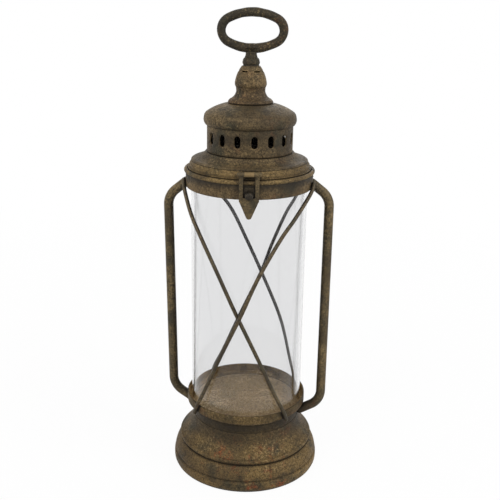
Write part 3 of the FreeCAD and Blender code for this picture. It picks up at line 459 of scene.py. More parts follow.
class Finishes:
    """Every material of the lantern, built once."""

    def __init__(self) -> None:
        """Build the finish of each slot, and the finishes of single pieces."""
        # Each finish below lays soot and painted shade in sheltered places and recesses, unless its amounts
        # are set to 0.
        self.by_slot: dict[Slot, bpy.types.Material] = {
            Slot.TIN: Patina("aged_tin_look").build(),
            Slot.TRAY: Patina(
                "tray_look", brown=srgb(186, 162, 126), umber=srgb(158, 135, 101), soot_and_shade=srgb(78, 64, 46),
                worn=srgb(224, 200, 164), moss=srgb(142, 126, 98), rust_amount=0.1, soot_amount=0.25,
                shine=0.1, recess_reach=4 * MM, shelter_dirt_and_shade=0.0, local=True, roughness=0.85,
                metallic=0.0).build(),
            Slot.WIRE: Patina(
                "tube_look", brown=srgb(112, 95, 62), umber=srgb(72, 60, 39), rust_amount=0.3,
                metallic=0.4, roughness=0.52, shine=0.4).build(),
            Slot.CASTING: Patina(
                "casting_look", brown=srgb(58, 50, 33), umber=srgb(32, 29, 21), worn=srgb(135, 115, 76),
                rust_amount=1.0, roughness=0.55, grain_depth=0.4 * MM).build(),
            Slot.DARK: Patina(
                "dark_iron_look", brown=srgb(52, 45, 34), umber=srgb(34, 29, 23), soot_and_shade=srgb(18, 16, 13),
                worn=srgb(96, 83, 62), moss=srgb(34, 35, 28), rust_amount=0.2, roughness=0.45,
                metallic=0.5).build(),
            Slot.GLASS: ClearGlass().build(),
        }
        # Foot: the dark band from 8 to 32 mm is painted shade on the shoulder under the cover's rolled edge.
        self.foot = Patina(
            "foot_look", brown=srgb(134, 108, 63), umber=srgb(98, 78, 47), rust_amount=0.9,
            dark_band_low=8 * MM, dark_band_high=32 * MM, dark_band_amount=0.3, shelter_dirt_and_shade=0.0,
            recess_reach=5 * MM).build()
        # Cover: strong soot and painted shade in its cove, and the dark band from 39 to 60 mm is painted
        # shade under the cup.
        self.cover = Patina(
            "cover_look", brown=srgb(110, 89, 52), umber=srgb(80, 64, 38), rust_amount=0.8,
            shelter_dirt_and_shade=0.95, dark_band_low=39 * MM, dark_band_high=60 * MM, dark_band_amount=0.5).build()
        # Cup: the dark band from 50 to 66.6 mm is painted shade, with some soot, in the cleft under the rim
        # band; corners get soot and painted shade at full strength.
        self.cup = Patina(
            "cup_look", brown=srgb(104, 84, 49), umber=srgb(78, 63, 37), shelter_dirt_and_shade=1.0,
            dark_band_low=50 * MM, dark_band_high=66.6 * MM, dark_band_amount=0.75).build()
        self.cup_inside = Patina(
            "cup_inside_look", brown=srgb(190, 158, 112), umber=srgb(160, 132, 92), shelter_dirt_and_shade=0.0,
            recess_reach=1 * MM, rust_amount=0.1, local=True, roughness=0.85, metallic=0.0,
            shine=0.1).build()
        # Collar: the dark band from 291 to 302 mm is painted shade under the rolled wire rim.
        self.collar = Patina(
            "collar_look", shelter_dirt_and_shade=0.3, dark_band_low=291 * MM, dark_band_high=302 * MM,
            dark_band_amount=0.9).build()
        self.rim = Patina(
            "rim_look", brown=srgb(130, 107, 66), umber=srgb(92, 75, 46), shelter_dirt_and_shade=0.2).build()
        self.vent = Patina(
            "vent_look", brown=srgb(110, 92, 62), umber=srgb(72, 60, 41), shelter_dirt_and_shade=0.45,
            dark_band_low=322 * MM, dark_band_high=338 * MM, dark_band_amount=0.3).build()
        self.lid = Patina(
            "lid_look", brown=srgb(110, 92, 62), umber=srgb(72, 60, 41), shelter_dirt_and_shade=0.45,
            rust_amount=0.35).build()
        self.neck = Patina(
            "neck_look", brown=srgb(96, 76, 49), umber=srgb(63, 51, 33), shelter_dirt_and_shade=0.5,
            rust_amount=1.5, rust_level=900 * MM).build()
        self.drawn = Patina(
            "drawn_wire_look", brown=srgb(88, 75, 52), umber=srgb(54, 46, 33), worn=srgb(124, 107, 76),
            rust_amount=0.3, metallic=0.4, roughness=0.5, shine=0.4).build()
        # Inside of the lid: sooty, and darkened further as painted shade so the inside stays dark through the
        # slots.
        self.inner = Patina(
            "smoked_and_shaded_inside_look", brown=srgb(34, 29, 22), umber=srgb(22, 19, 15), soot_and_shade=srgb(10, 9, 7),
            worn=srgb(48, 42, 32), moss=srgb(22, 23, 18), rust_amount=0.1, roughness=0.85,
            metallic=0.0, shine=0.1).build()

    def dress_nodes(self, frame: dict) -> None:
        """Give every node of the model its finish, by its slot in the record.

        Args:
            frame: the loaded model.
        """
        slots = {part["node"]: Slot(part["material_slot"]) for part in frame["record"]["subparts"]}
        for name, thing in frame["nodes"].items():
            thing.data.materials.clear()
            thing.data.materials.append(self.by_slot[slots[name]])


@dataclass
class Workshop:
    """Turns point grids into pieces, dresses them and hangs them on their bodies."""

    finishes: Finishes

    def piece(self, name: str, shape: Shape, slot: Slot, body: Body, nodes: Sequence[str],
              finish: bpy.types.Material | None = None, weld: float = 0.0) -> bpy.types.Object:
        """Make a piece from points and faces.

        Args:
            name: name of the piece.
            shape: places in metres, one row each, and four point numbers for each face.
            slot: material slot that it takes its finish from.
            body: body that it rides on.
            nodes: nodes of the model that it stands for.
            finish: its own finish in place of the slot's, or None.
            weld: distance in metres under which points are merged, or 0.

        Returns:
            The new object.
        """
        points, faces = shape
        mesh = bpy.data.meshes.new(name)
        mesh.from_pydata(points.tolist(), [], faces.tolist())
        shell = bmesh.new()
        shell.from_mesh(mesh)
        if weld > 0:
            bmesh.ops.remove_doubles(shell, verts=shell.verts, dist=weld)
        bmesh.ops.recalc_face_normals(shell, faces=shell.faces)
        for face in shell.faces:
            face.smooth = True
        shell.to_mesh(mesh)
        shell.free()
        mesh.update()
        mesh.materials.append(finish or self.finishes.by_slot[slot])
        thing = bpy.data.objects.new(name, mesh)
        bpy.context.scene.collection.objects.link(thing)
        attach(thing, body.value)
        if nodes:
            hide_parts(*nodes)
        LOG.info("made %s", name)
        return thing

    def line_within(self, thing: bpy.types.Object, finish: bpy.types.Material) -> None:
        """Give the faces of a round shell that look inwards a finish of their own.

        A face looks inwards where its normal times the way out from the axis is under INWARD_LIMIT.

        Args:
            thing: shell about the upright axis.
            finish: material of its inside.
        """
        faces = thing.data.polygons
        normal, middle = np.empty(len(faces) * 3), np.empty(len(faces) * 3)
        faces.foreach_get("normal", normal)
        faces.foreach_get("center", middle)
        normal, middle = normal.reshape(-1, 3)[:, :2], middle.reshape(-1, 3)[:, :2]
        away = middle / np.maximum(np.linalg.norm(middle, axis=1, keepdims=True), TINY)
        within = (normal * away).sum(axis=1) < INWARD_LIMIT
        thing.data.materials.append(finish)
        faces.foreach_set("material_index", within.astype(np.int32))
        thing.data.update()


def grid_faces(rows: int, columns: int, close_rows: bool = False) -> np.ndarray:
    """Four-cornered faces of a grid of points, each row of which is a closed ring.

    Args:
        rows: number of rows.
        columns: number of points in a row.
        close_rows: whether the last row joins the first.

    Returns:
        One row of four point numbers for each face.
    """
    row, column = np.arange(rows if close_rows else rows - 1), np.arange(columns)
    first, second = np.meshgrid(row, column, indexing="ij")
    below, beside = (first + 1) % rows, (second + 1) % columns
    corners = [first * columns + second, first * columns + beside,
               below * columns + beside, below * columns + second]
    return np.stack([corner.ravel() for corner in corners], axis=1)


def rounded(corners: Sequence[Corner], steps: int = 6, spacing: float = 2.2) -> np.ndarray:
    """Closed outline in millimetres with its corners rounded and its runs divided.

    A corner is (radius, height) or (radius, height, bow): the bow is how far the run to the
    next corner swells to the right of its way. Corners are cut by a short quadratic curve.

    Args:
        corners: the outline's corners in order.
        steps: points on each rounded corner.
        spacing: longest gap along a run.

    Returns:
        Array of points along the outline.
    """
    runs = []
    for corner, following in zip(corners, [*corners[1:], corners[0]]):
        here, there = np.array(corner[:2], float), np.array(following[:2], float)
        way = there - here
        length = float(np.hypot(*way))
        share = np.linspace(0.0, 1.0, max(2, math.ceil(length / spacing)) + 1)[:, None]
        right = np.array([way[1], -way[0]]) / max(length, TINY)
        bow = corner[2] if len(corner) > 2 else 0.0
        runs.append(here + way * share + right * bow * 4 * share * (1 - share))
    points = []
    for before, after in zip([runs[-1], *runs[:-1]], runs):
        corner = after[0]
        back, ahead = before[-2] - corner, after[1] - corner
        cut = CORNER_SHARE * min(np.hypot(*back), np.hypot(*ahead), CORNER_STEP)
        start = corner + back / max(np.hypot(*back), TINY) * cut
        end = corner + ahead / max(np.hypot(*ahead), TINY) * cut
        share = np.linspace(0.0, 1.0, steps)[:, None]
        points.append((1 - share) ** 2 * start + 2 * share * (1 - share) * corner + share ** 2 * end)
        points.append(after[1:-1])
    return np.concatenate(points)


def turned(outline: np.ndarray, segments: int = 144, wobble: float = 0.12, seed: int = 1) -> Shape:
    """Turn a closed outline about the axis, with the slight waves of hand-spun sheet.

    A point is (r sin a, -r cos a, z), where r is the outline's radius plus a sum of three slow
    waves of the angle and the height, so that no ring is a perfect circle.

    Args:
        outline: points of radius and height in millimetres.
        segments: number of steps round the axis.
        wobble: size of the waves in millimetres.
        seed: seed of the waves' phases.

    Returns:
        The points in metres and the faces.
    """
    phases = np.random.default_rng(seed).uniform(0, FULL_TURN, len(SPUN_WAVES))
    angle = np.linspace(0, FULL_TURN, segments, endpoint=False)[None, :]
    radius, height = outline[:, 0:1], outline[:, 1:2]
    waves = sum(share * np.sin(count * angle + height * twist + phase)
                for (count, twist, share), phase in zip(SPUN_WAVES, phases))
    out = np.maximum(radius + waves * wobble * np.clip(radius / CALM_RADIUS, 0.0, 1.0), 0.0)
    points = np.stack(np.broadcast_arrays(out * np.sin(angle), -out * np.cos(angle), height), axis=-1)
    return points.reshape(-1, 3) * MM, grid_faces(len(outline), segments, True)


def swept(path: np.ndarray, radius: float | np.ndarray, sides: int = 20, closed: bool = False) -> Shape:
    """Carry a round section along a path, kept from twisting.

    The section's own axis is turned from point to point by the least turn that keeps it square
    to the path. Open ends close in a half ball of a few shrinking rings.

    Args:
        path: points of the path in millimetres.
        radius: radius at each point, or one for all.
        sides: points round the section.
        closed: whether the path joins up.

    Returns:
        The points in metres and the faces.
    """
    radii = np.broadcast_to(np.asarray(radius, float), (len(path),)).copy()
    if not closed:
        ends = []
        lean = np.linspace(0, math.pi / 2 * END_SHARE, END_RINGS + 1)[1:]
        for tip, inner in ((path[0], path[1]), (path[-1], path[-2])):
            way = (tip - inner) / np.linalg.norm(tip - inner)
            ends.append((tip + way * (np.sin(lean) * radii[0])[:, None], np.cos(lean) * radii[0]))
        path = np.concatenate([ends[0][0][::-1], path, ends[1][0]])
        radii = np.concatenate([ends[0][1][::-1], radii, ends[1][1]])
    ahead = np.roll(path, -1, axis=0) - np.roll(path, 1, axis=0)
    if not closed:
        ahead[0], ahead[-1] = path[1] - path[0], path[-1] - path[-2]
    ahead /= np.linalg.norm(ahead, axis=1)[:, None]
    spare = np.array([0.0, 1.0, 0.0]) if abs(ahead[0][1]) < STEEP else np.array([1.0, 0.0, 0.0])
    across = [np.cross(ahead[0], spare)]
    for way in ahead[1:]:
        across.append(across[-1] - way * float(across[-1] @ way))
        across[-1] = across[-1] / np.linalg.norm(across[-1])
    across = np.array(across)
    across /= np.linalg.norm(across, axis=1)[:, None]
    other = np.cross(ahead, across)
    angle = np.linspace(0, FULL_TURN, sides, endpoint=False)[None, :, None]
    ring = across[:, None, :] * np.cos(angle) + other[:, None, :] * np.sin(angle)
    points = path[:, None, :] + ring * radii[:, None, None]
    return points.reshape(-1, 3) * MM, grid_faces(len(path), sides, closed)


def smooth_path(stations: np.ndarray, steps: int = 12) -> np.ndarray:
    """Smooth curve through stations.

    Each span is a cubic whose slope at a station is half the way between its neighbours.

    Args:
        stations: points to pass through.
        steps: points on each span.

    Returns:
        Points along the curve.
    """
    padded = np.concatenate([[2 * stations[0] - stations[1]], stations, [2 * stations[-1] - stations[-2]]])
    share = np.linspace(0, 1, steps, endpoint=False)[:, None]
    spans = []
    for before, start, end, after in zip(padded, padded[1:], padded[2:], padded[3:]):
        square, cube = 2 * before - 5 * start + 4 * end - after, 3 * start - before - 3 * end + after
        spans.append(0.5 * (2 * start + (end - before) * share + square * share ** 2 + cube * share ** 3))
    return np.concatenate(spans + [stations[-1:]])


def bent_path(points: np.ndarray, bend: float, steps: int = 14) -> np.ndarray:
    """Straight runs joined by arcs that meet them in line.

    Args:
        points: ends and corners of the path in millimetres.
        bend: radius of each bend.
        steps: points on each bend.

    Returns:
        Points along the path.
    """
    path = [np.array([points[0]])]
    share = np.linspace(0, 1, steps)[:, None]
    for before, corner, after in zip(points, points[1:], points[2:]):
        back = (before - corner) / np.linalg.norm(before - corner)
        ahead = (after - corner) / np.linalg.norm(after - corner)
        half_turn = (math.pi - math.acos(float(np.clip(back @ ahead, -1, 1)))) / 2
        middle = corner + (back + ahead) / np.linalg.norm(back + ahead) * bend / math.cos(half_turn)
        reach = bend * math.tan(half_turn)
        start, end = corner + back * reach, corner + ahead * reach
        from_start, to_end = np.sin((1 - share) * 2 * half_turn), np.sin(share * 2 * half_turn)
        path.append(np.linspace(path[-1][-1], start, RUN_POINTS)[1:-1])
        arc = (start - middle) * from_start + (end - middle) * to_end
        path.append(middle + arc / math.sin(2 * half_turn))
    path.append(np.linspace(path[-1][-1], points[-1], LAST_RUN_POINTS)[1:])
    return np.concatenate(path)


def around(radius: float | np.ndarray, degrees: float | np.ndarray, height: float | np.ndarray) -> np.ndarray:
    """Places on circles about the axis, counted from the front towards +X."""
    angle = np.radians(degrees)
    return np.stack(np.broadcast_arrays(radius * np.sin(angle), -radius * np.cos(angle), height), axis=-1)


def squared(wave: np.ndarray, power: float) -> np.ndarray:
    """A wave pushed towards a square one: its sign times its size raised to a power under 1."""
    return np.sign(wave) * np.abs(wave) ** power


@dataclass
class Base:
    """Foot, bell cover, gallery cup and tray. Sizes in millimetres."""

    foot_radius: float = 72.3
    foot_height: float = 27.0
    wall: float = 1.2
    edge_radius: float = 66.2
    edge_low: float = 28.0
    neck_radius: float = 52.5
    neck_level: float = 53.0
    cup_hole: float = 43.0
    cup_wall: float = 1.1
    band_radius: float = 58.65
    band_low: float = 66.0
    band_top: float = 74.5
    tray_level: float = 65.0
    tray_radius: float = 55.2
    tray_wall: float = 1.1
    skirt_radius: float = 49.5
    skirt_low: float = 54.2
    dish_radius: float = 50.8
    dish_depth: float = 0.5

    def foot(self) -> np.ndarray:
        """Outline of the foot: rolled rest edge, groove, swelling shoulder and inner flange."""
        out, top, wall = self.foot_radius, self.foot_height, self.wall
        return rounded([
            (out - 6.0, 0.0), (out - 2.6, 0.0, 0.5), (out, 3.4, 0.15), (out - 0.1, 9.8), (out - 2.2, 11.4),
            (out - 0.9, 12.9, 0.1), (out - 1.1, 14.5, 0.75), (out - 5.9, top - 2.6, 0.45),
            (out - 8.4, top - 1.4), (out - 8.9, top), (out - 12.3, top), (out - 12.3, top - wall),
            (out - 9.9, top - wall), (out - 9.2, top - 2.4), (out - 6.9, top - 3.6, -0.5),
            (out - 2.5, 14.5), (out - 1.6, 3.6, -0.3), (out - 3.2, wall), (out - 6.0, wall)])

    def cover(self) -> np.ndarray:
        """Outline of the bell cover: rolled edge band and a cove up to the neck."""
        out, low, neck, top = self.edge_radius, self.edge_low, self.neck_radius, self.neck_level
        return rounded([
            (out - 1.2, low - 0.2), (out - 0.2, low, 0.2), (out + 0.1, low + 1.7, 0.5),
            (out - 1.9, low + 3.3, -2.35), (neck + 0.4, top - 0.4), (neck, top), (neck - 1.0, top),
            (neck - 0.6, top - 0.9, 2.2), (out - 3.4, low + 1.0), (out - 5.2, low + 1.0),
            (out - 5.2, low - 1.0), (out - 1.2, low - 1.0)])

    def cup(self) -> np.ndarray:
        """Outline of the cup: bowl, rim band with a rolled lip, and its inner face."""
        out, low, top = self.band_radius, self.band_low, self.band_top
        neck, floor, wall = self.neck_radius, self.neck_level, self.cup_wall
        return rounded([
            (self.cup_hole, floor), (neck, floor, 0.2), (neck + 0.5, low - 5.5, -0.5),
            (out - 2.2, low - 0.9, 0.2), (out - 0.4, low, 0.25), (out, low + 1.1, 0.05), (out, top - 1.2),
            (out - 0.1, top, 0.1), (out - 1.2, top), (out - 1.2, low + 1.4), (out - 2.9, low + 0.6, 0.2),
            (neck - 0.7, low - 4.9, -0.2), (neck - wall, floor + wall), (self.cup_hole, floor + wall)])

    def tray(self) -> np.ndarray:
        """Outline of the tray that is the floor, slightly dished, with a skirt under its edge."""
        out, level, skirt, wall = self.tray_radius, self.tray_level, self.skirt_radius, self.tray_wall
        dish = level - self.dish_depth
        return rounded([
            (POLE, dish - wall), (skirt - wall, dish - wall), (skirt - wall, self.skirt_low),
            (skirt, self.skirt_low), (skirt, level - self.wall), (out, level - self.wall), (out, level),
            (self.dish_radius, level), (self.dish_radius - 0.6, dish), (POLE, dish)])

    def build(self, shop: Workshop) -> None:
        """Make the base's pieces."""
        looks = shop.finishes
        for seed, (name, outline, slot, finish, node) in enumerate((
                ("foot_spun", self.foot(), Slot.TIN, looks.foot, "base_foot"),
                ("cover_spun", self.cover(), Slot.TIN, looks.cover, "base_flare"),
                ("cup_spun", self.cup(), Slot.TIN, looks.cup, "gallery_cup"),
                ("tray_spun", self.tray(), Slot.TRAY, None, "candle_plate"))):
            piece = shop.piece(name, turned(outline, seed=seed), slot, Body.LANTERN, [node], finish)
            if finish is looks.cup:
                shop.line_within(piece, looks.cup_inside)


@dataclass
class Chimney:
    """Glass tube, collar and rolled wire. Sizes in millimetres."""

    glass_radius: float = 54.25
    glass_wall: float = 2.4
    glass_low: float = 65.05
    glass_top: float = 296.5
    collar_radius: float = 59.0
    collar_low: float = 285.2
    collar_top: float = 298.3
    collar_wall: float = 1.0
    flange_gap: float = 0.6
    rim_level: float = 300.2
    rim_radius: float = 58.5
    rim_thickness: float = 2.0
    rim_points: int = 160
    glass_wobble: float = 0.03
    glass_seed: int = 11
    collar_seed: int = 12

    def glass(self) -> np.ndarray:
        """Outline of the glass wall with fire-polished ends."""
        out, inner = self.glass_radius, self.glass_radius - self.glass_wall
        low, top = self.glass_low, self.glass_top
        return rounded([(inner, low), (out, low), (out, top), (inner, top)], spacing=12.0)

    def collar(self) -> np.ndarray:
        """Outline of the collar: wall with a hemmed lower edge and an inner flange."""
        out, low, top, wall = self.collar_radius, self.collar_low, self.collar_top, self.collar_wall
        hole = self.glass_radius + self.flange_gap
        return rounded([
            (hole, low), (out - 0.4, low), (out + 0.1, low + 0.8), (out - 0.1, low + 2.2),
            (out, low + 3.2, 0.1), (out, top), (out - wall, top), (out - wall, low + wall),
            (hole, low + wall)])

    def build(self, shop: Workshop) -> None:
        """Make the chimney's pieces."""
        glass = turned(self.glass(), wobble=self.glass_wobble, seed=self.glass_seed)
        shop.piece("glass_tube", glass, Slot.GLASS, Body.LANTERN, ["glass_chimney"])
        collar = turned(self.collar(), seed=self.collar_seed)
        shop.piece("collar_spun", collar, Slot.TIN, Body.LANTERN, ["upper_collar"], shop.finishes.collar)
        ring = around(self.rim_radius, np.linspace(0, 360, self.rim_points, endpoint=False), self.rim_level)
        shop.piece("rim_wire_rolled", swept(ring, self.rim_thickness, closed=True), Slot.TIN, Body.LANTERN,
                   ["collar_wire_rim"], shop.finishes.rim)


@dataclass
class Lid:
    """Stack of spun shells, punched band and finial. Sizes in millimetres, phase in degrees."""

    low: float = 302.5
    rim_radius: float = 57.2
    lip_radius: float = 56.2
    lip_depth: float = 5.0
    step_low: float = 306.7
    skirt_low: float = 309.2
    skirt_radius: float = 53.6
    skirt_hole: float = 37.2
    wall: float = 1.0
    vent_low: float = 317.2
    vent_high: float = 342.2
    vent_radius: float = 39.4
    vent_sheet: float = 0.9
    slot_count: int = 16
    slot_phase: float = 6.0
    slot_half_width: float = 2.9
    slot_half_height: float = 5.3
    slot_rise: float = 14.0
    ray_count: int = 64
    field_shares: tuple[float, ...] = (0.0, 0.0, 0.06, 0.16, 0.34, 0.6, 0.8, 1.0)
    lip_sinks: tuple[float, ...] = (1.15, 0.55, 0.16, 0.02, 0.0, 0.0, 0.0, 0.0)
    dome_radius: float = 42.3
    crown_radius: float = 20.0
    neck_low: float = 361.2
    flange_radius: float = 20.5
    neck_radius: float = 13.3
    hood_low: float = 375.2
    knob_low: float = 393.8
    knob_high: float = 401.2
    knob_radius: float = 7.6
    rod_radius: float = 2.9
    first_seed: int = 20

    def rim(self) -> np.ndarray:
        """Outline of the lid's rim: flange on the wire, band, step, and the lip that goes into the collar."""
        out, lip, wall = self.rim_radius, self.lip_radius, self.wall
        low, step, top = self.low, self.step_low, self.skirt_low
        return rounded([
            (out, low), (out, low + wall), (out - 1.5, low + 1.1, 0.1), (out - 1.6, step - 0.3),
            (out - 2.5, step), (out - 2.6, step + 0.3, 0.1), (out - 3.2, top), (out - 5.2, top),
            (out - 4.4, step - wall), (lip - wall, step - wall), (lip - wall, low - self.lip_depth),
            (lip, low - self.lip_depth), (lip, low)])

    def skirt(self) -> np.ndarray:
        """Outline of the roof skirt: round edge bead, and a cove up to the punched band."""
        out, hole, wall = self.skirt_radius, self.skirt_hole, self.wall
        low, top = self.skirt_low, self.vent_low
        return rounded([
            (out, low), (out + 0.2, low + 0.8, 0.45), (out - 3.7, low + 2.1, -1.1), (hole + 3.5, top),
            (hole, top), (hole, top - wall), (hole + 3.0, top - wall, 1.05), (out - 4.4, low + wall),
            (out - 1.8, low)], spacing=1.4)

    def dome(self) -> np.ndarray:
        """Outline of the dome with its turned-in flange."""
        out, crown, rod = self.dome_radius, self.crown_radius, self.rod_radius
        low, top = self.vent_high, self.neck_low
        return rounded([
            (out - 4.5, low), (out - 1.3, low), (out - 0.2, low + 2.0, 0.35), (out, low + 6.2, 0.95),
            (out - 3.6, low + 11.7, 1.05), (crown, top - 0.2), (rod, top), (rod, top - self.wall),
            (crown - 0.4, top - 1.2, -1.0), (out - 4.3, low + 10.8, -0.9), (out - 1.1, low + 5.6, -0.35),
            (out - 1.7, low + 1.1), (out - 4.5, low + self.wall)])

    def neck(self) -> np.ndarray:
        """Outline of the finial's neck with its bell flange."""
        out, stalk, rod = self.flange_radius, self.neck_radius, self.rod_radius
        low, top = self.neck_low, self.hood_low
        return rounded([
            (rod, low), (out - 0.3, low), (out, low + 1.2, 0.2), (out - 2.1, low + 3.6, -0.6),
            (stalk + 0.6, low + 8.0, -0.3), (stalk - 0.2, low + 11.6), (stalk, top), (stalk - 1.3, top),
            (stalk - 1.4, low + 1.4), (rod, low + 1.4)], spacing=1.2)

    def knob(self) -> np.ndarray:
        """Outline of the knob on top of the hood."""
        out, rod, low, top = self.knob_radius, self.rod_radius, self.knob_low, self.knob_high
        return rounded([
            (rod, low), (out - 0.2, low), (out - 0.5, low + 1.0, 0.5), (out, low + 4.4, 0.5),
            (out - 1.9, top), (rod, top)], spacing=1.0)

    def slot_rays(self, wide: float, low: float, high: float) -> np.ndarray:
        """Directions from a slot's middle, counted from straight up, with the field's corners among them.

        Args:
            wide: half width of the slot's field.
            low: how far the field goes down from the slot's middle.
            high: how far it goes up.

        Returns:
            The angles in radians.
        """
        rays = np.linspace(0, FULL_TURN, self.ray_count, endpoint=False) + FULL_TURN / self.ray_count / 2
        for corner in (math.atan2(wide, high), math.atan2(wide, -low)):
            for turn in (corner, FULL_TURN - corner):
                rays[np.argmin(np.abs(rays - turn))] = turn
        return rays

    def vents(self) -> Shape:
        """Punched band as a grid of two parameters for each slot.

        The first runs round the slot's outline, and the second goes from that outline to the edge
        of the slot's own field. Both ends are matched along rays from the slot's middle. The wall
        leans in by a punched lip at the slot, and each field is bent round the axis.
        """
        wide = math.pi * self.vent_radius / self.slot_count
        low, high = self.slot_rise, self.vent_high - self.vent_low - self.slot_rise
        rays = self.slot_rays(wide, low, high)
        across, up = np.sin(rays), np.cos(rays)
        half, straight = self.slot_half_width, self.slot_half_height - self.slot_half_width
        side = half / np.maximum(np.abs(across), TINY)
        cap = straight * np.abs(up) + np.sqrt(np.maximum(half ** 2 - (straight * across) ** 2, 0.0))
        run = np.where(np.abs(up * side) <= straight, side, cap)
        edge = np.minimum(wide / np.maximum(np.abs(across), TINY),
                          np.where(up > 0, high, low) / np.maximum(np.abs(up), TINY))
        share, sink = np.array(self.field_shares)[:, None], np.array(self.lip_sinks)[:, None]
        reach = run + (edge - run) * share
        radius, height = self.vent_radius - sink, self.vent_low + self.slot_rise + reach * up
        points, faces = [], []
        for number in range(self.slot_count):
            turn = (reach * across / self.vent_radius + math.radians(self.slot_phase)
                    + number * FULL_TURN / self.slot_count)
            field = np.stack([radius * np.sin(turn), -radius * np.cos(turn), height], -1)
            points.append(field.reshape(-1, 3))
            faces.append(grid_faces(len(share), len(rays)) + number * len(share) * len(rays))
        return np.concatenate(points) * MM, np.concatenate(faces)

    def build(self, shop: Workshop) -> None:
        """Make the lid's shells, the punched band and the finial."""
        looks = shop.finishes
        for number, (name, outline, segments, slot, finish, node) in enumerate((
                ("lid_rim_spun", self.rim(), 144, Slot.TIN, looks.rim, "lid_rim"),
                ("roof_skirt_spun", self.skirt(), 144, Slot.TIN, looks.lid, "roof_skirt"),
                ("dome_spun", self.dome(), 128, Slot.TIN, looks.lid, "dome_cap"),
                ("finial_neck_spun", self.neck(), 96, Slot.CASTING, looks.neck, "finial_neck"),
                ("finial_knob_turned", self.knob(), 64, Slot.CASTING, None, "finial_knob"))):
            shape = turned(outline, segments, seed=self.first_seed + number)
            part = shop.piece(name, shape, slot, Body.LID, [node], finish)
            # Faces that look inwards take the inside finish: soot and painted shade.
            if slot is Slot.TIN:
                shop.line_within(part, looks.inner)
        band = shop.piece("vent_band_punched", self.vents(), Slot.TIN, Body.LID, ["vent_band"], looks.vent,
                          weld=0.05 * MM)
        # The band's inner wall takes the inside finish: soot and painted shade.
        band.data.materials.append(looks.inner)
        sheet = band.modifiers.new("sheet", "SOLIDIFY")
        sheet.thickness = self.vent_sheet * MM
        sheet.offset = -1.0
        sheet.material_offset = 1


@dataclass
class RingHandle:
    """Cast oval ring, its stem and the rod inside the lid. Sizes in millimetres.

    A lump is a wave round the ring: its count, its phase and its height.
    """

    half_width: float = 27.6
    half_height: float = 15.45
    end_radius: float = 11.5
    section: float = 3.95
    side_shift: float = 0.9
    middle: float = 424.5
    end_points: int = 30
    flat_points: int = 40
    lumps: tuple[tuple[float, float, float], ...] = ((5, 0.4, 0.10), (11, 0.0, 0.06))
    stem_swell: float = 0.5
    stem_swell_reach: float = 7.0
    stem_middle: float = 0.5
    stem_low: float = 401.2
    stem_radius: float = 5.2
    stem_seed: int = 31
    head_radius: float = 8.6
    head_height: float = 3.0
    head_depth_share: float = 0.72
    rod_low: float = 343.0
    rod_radius: float = 2.5
    rod_chamfer: float = 0.5

    def oval(self) -> np.ndarray:
        """Middle line of the ring: two end arcs and two flatter ones that meet in line."""
        run = self.half_width - self.end_radius
        spare = 2 * (self.half_height - self.end_radius)
        flat = (run ** 2 + self.half_height ** 2 - self.end_radius ** 2) / spare
        lean = math.atan2(flat - self.half_height, run)
        ends = np.linspace(-lean, lean, self.end_points, endpoint=False)
        flats = np.linspace(lean, math.pi - lean, self.flat_points, endpoint=False)
        arcs = []
        for side, sign in ((0.0, 1.0), (math.pi, -1.0)):
            arcs.append(np.stack([sign * run + self.end_radius * np.cos(ends + side),
                                  self.end_radius * np.sin(ends + side)], -1))
            arcs.append(np.stack([flat * np.cos(flats + side),
                                  flat * np.sin(flats + side) - sign * (flat - self.half_height)], -1))
        line = np.concatenate(arcs)
        return np.stack([line[:, 0] + self.side_shift, np.zeros(len(line)), line[:, 1] + self.middle], -1)

    def ring(self) -> Shape:
        """The ring, a little lumpy as cast, and thicker where it meets the stem."""
        path = self.oval()
        near_stem = np.exp(-((path[:, 0] - self.stem_middle) / self.stem_swell_reach) ** 2) \
            * (path[:, 2] < self.middle)
        angle = np.arctan2(path[:, 2] - self.middle, path[:, 0])
        lumps = sum(height * np.sin(count * angle + phase) for count, phase, height in self.lumps)
        return swept(path, self.section + self.stem_swell * near_stem + lumps, sides=28, closed=True)

    def stem(self) -> Shape:
        """The stem, round at its foot and flattened from front to back where it spreads under the ring."""
        out, low, top = self.stem_radius, self.stem_low, self.middle - self.half_height
        points, faces = turned(rounded([
            (POLE, low - 0.3), (out + 0.7, low - 0.3), (out + 0.1, low + 1.4, -0.3), (out, top - 2.4, -0.5),
            (self.head_radius, top + 0.4), (POLE, top + 1.0)], spacing=0.8), segments=64, seed=self.stem_seed)
        in_head = points[:, 2] > (top - self.head_height) * MM
        points[:, 1] *= np.where(in_head, self.head_depth_share, 1.0)
        return points, faces

    def rod(self) -> Shape:
        """The rod that goes down through the finial, with a chamfered lower end."""
        out, low, top, chamfer = self.rod_radius, self.rod_low, self.stem_low, self.rod_chamfer
        return turned(rounded([
            (POLE, low), (out - chamfer, low), (out, low + chamfer), (out, top), (POLE, top)], spacing=4.0),
            segments=32, wobble=0.0)

    def build(self, shop: Workshop) -> None:
        """Make the ring, the stem and the rod."""
        shop.piece("handle_ring_cast", self.ring(), Slot.CASTING, Body.LID, ["ring_handle"])
        shop.piece("handle_stem_cast", self.stem(), Slot.CASTING, Body.LID, [])
        shop.piece("handle_rod_drawn", self.rod(), Slot.DARK, Body.LID, [])


